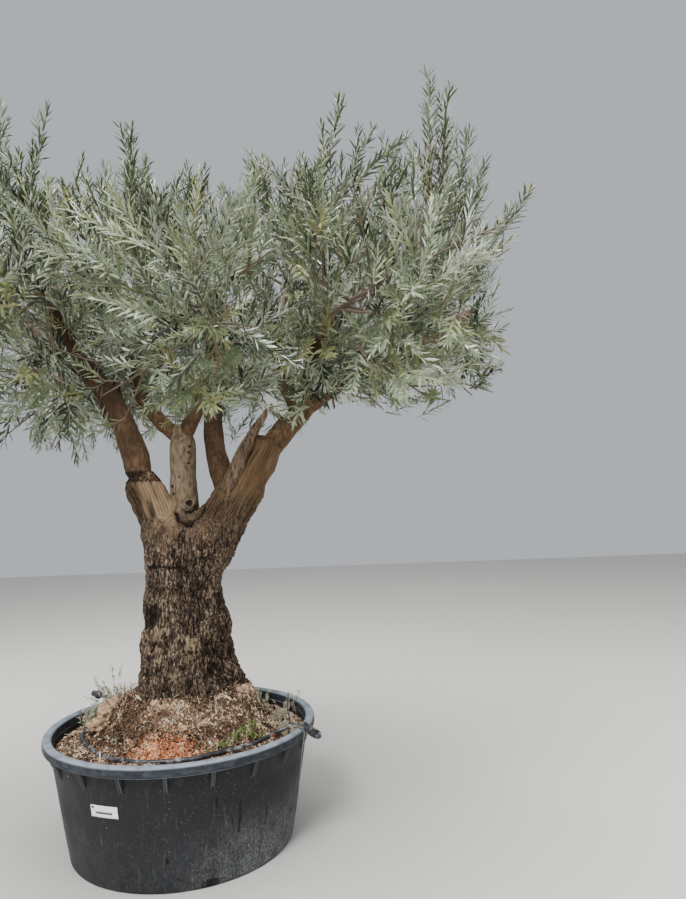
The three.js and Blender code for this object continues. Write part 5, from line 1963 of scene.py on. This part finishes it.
class OLIVE_OT_stage(bpy.types.Operator):
    """Sets the plain floor, the soft light and the photo's camera"""

    bl_idname = "olive.stage"
    bl_label = "Stage"

    def execute(self, context):
        scene = context.scene
        bm = bmesh.new()
        bmesh.ops.create_grid(bm, x_segments=1, y_segments=1, size=14)
        floor = bpy.data.objects.new("floor", mesh_from_bmesh(bm, False))
        scene.collection.objects.link(floor)
        floor.data.materials.append(plain("pale studio floor", "cfccc6", 0.9, 0.2))

        world = bpy.data.worlds.new("pale studio")
        scene.world = world
        world.use_nodes = True
        world.node_tree.nodes["Background"].inputs["Color"].default_value = linear("dfe4ea")
        world.node_tree.nodes["Background"].inputs["Strength"].default_value = 0.70

        self.add_light("sky panel", (0.4, -0.6, 7.5), (0, 0, 1.5), 5.0, 1120)
        self.add_light("key panel", (-1.2, -5.2, 6.0), (0.3, 0, 1.6), 2.2, 560)

        lens = bpy.data.cameras.new("photo camera")
        lens.sensor_width = SENSOR
        lens.lens = CAMERA_FOCUS / IMAGE_HEIGHT * SENSOR
        lens.clip_end = 60
        camera = bpy.data.objects.new("photo camera", lens)
        scene.collection.objects.link(camera)
        camera.matrix_world = (Matrix.Translation(CAMERA_PLACE)
                               @ Matrix.Rotation(math.pi / 2 + CAMERA_TILT, 4, "X")
                               @ Matrix.Rotation(CAMERA_LEAN, 4, "Z"))
        scene.camera = camera
        return {"FINISHED"}

    def add_light(self, name, place, aim, size, power):
        """A soft square panel that faces a point."""
        lamp = bpy.data.lights.new(name, "AREA")
        lamp.size = size
        lamp.energy = power
        panel = bpy.data.objects.new(name, lamp)
        bpy.context.scene.collection.objects.link(panel)
        panel.location = place
        panel.rotation_euler = (Vector(aim) - Vector(place)).to_track_quat("-Z", "Y").to_euler()


class OLIVE_PT_panel(bpy.types.Panel):
    """The tree's sizes, colours and pieces"""

    bl_idname = "OLIVE_PT_panel"
    bl_label = "Olive tree"
    bl_space_type = "VIEW_3D"
    bl_region_type = "UI"
    bl_category = "Olive tree"

    def draw(self, context):
        for group in (context.scene.olive_sizes, context.scene.olive_colours):
            for key in group.__annotations__:
                self.layout.prop(group, key)
        for operator in OPERATORS:
            self.layout.operator(operator.bl_idname)


OPERATORS = [
    OLIVE_OT_stage, OLIVE_OT_pot, OLIVE_OT_label, OLIVE_OT_soil, OLIVE_OT_lumps, OLIVE_OT_litter,
    OLIVE_OT_plants, OLIVE_OT_pipe, OLIVE_OT_string,
    OLIVE_OT_trunk, OLIVE_OT_boughs, OLIVE_OT_sliver, OLIVE_OT_foliage,
]
CLASSES = [OliveSizes, OliveColours, *OPERATORS, OLIVE_PT_panel]


def register():
    """Registers the classes and the settings."""
    for cls in CLASSES:
        bpy.utils.register_class(cls)
    bpy.types.Scene.olive_sizes = bpy.props.PointerProperty(type=OliveSizes)
    bpy.types.Scene.olive_colours = bpy.props.PointerProperty(type=OliveColours)


def unregister():
    """Takes the classes and the settings away."""
    del bpy.types.Scene.olive_sizes
    del bpy.types.Scene.olive_colours
    for cls in reversed(CLASSES):
        bpy.utils.unregister_class(cls)


def main():
    """Builds the whole scene."""
    register()
    bpy.ops.olive.stage()
    bpy.ops.olive.pot()
    bpy.ops.olive.label()
    bpy.ops.olive.soil()
    bpy.ops.olive.lumps()
    bpy.ops.olive.litter()
    bpy.ops.olive.plants()
    bpy.ops.olive.pipe()
    bpy.ops.olive.string()
    bpy.ops.olive.trunk()
    bpy.ops.olive.boughs()
    bpy.ops.olive.sliver()
    for index in range(len(MASSES)):
        bpy.ops.olive.foliage(index=index)


if __name__ == "__main__":
    main()
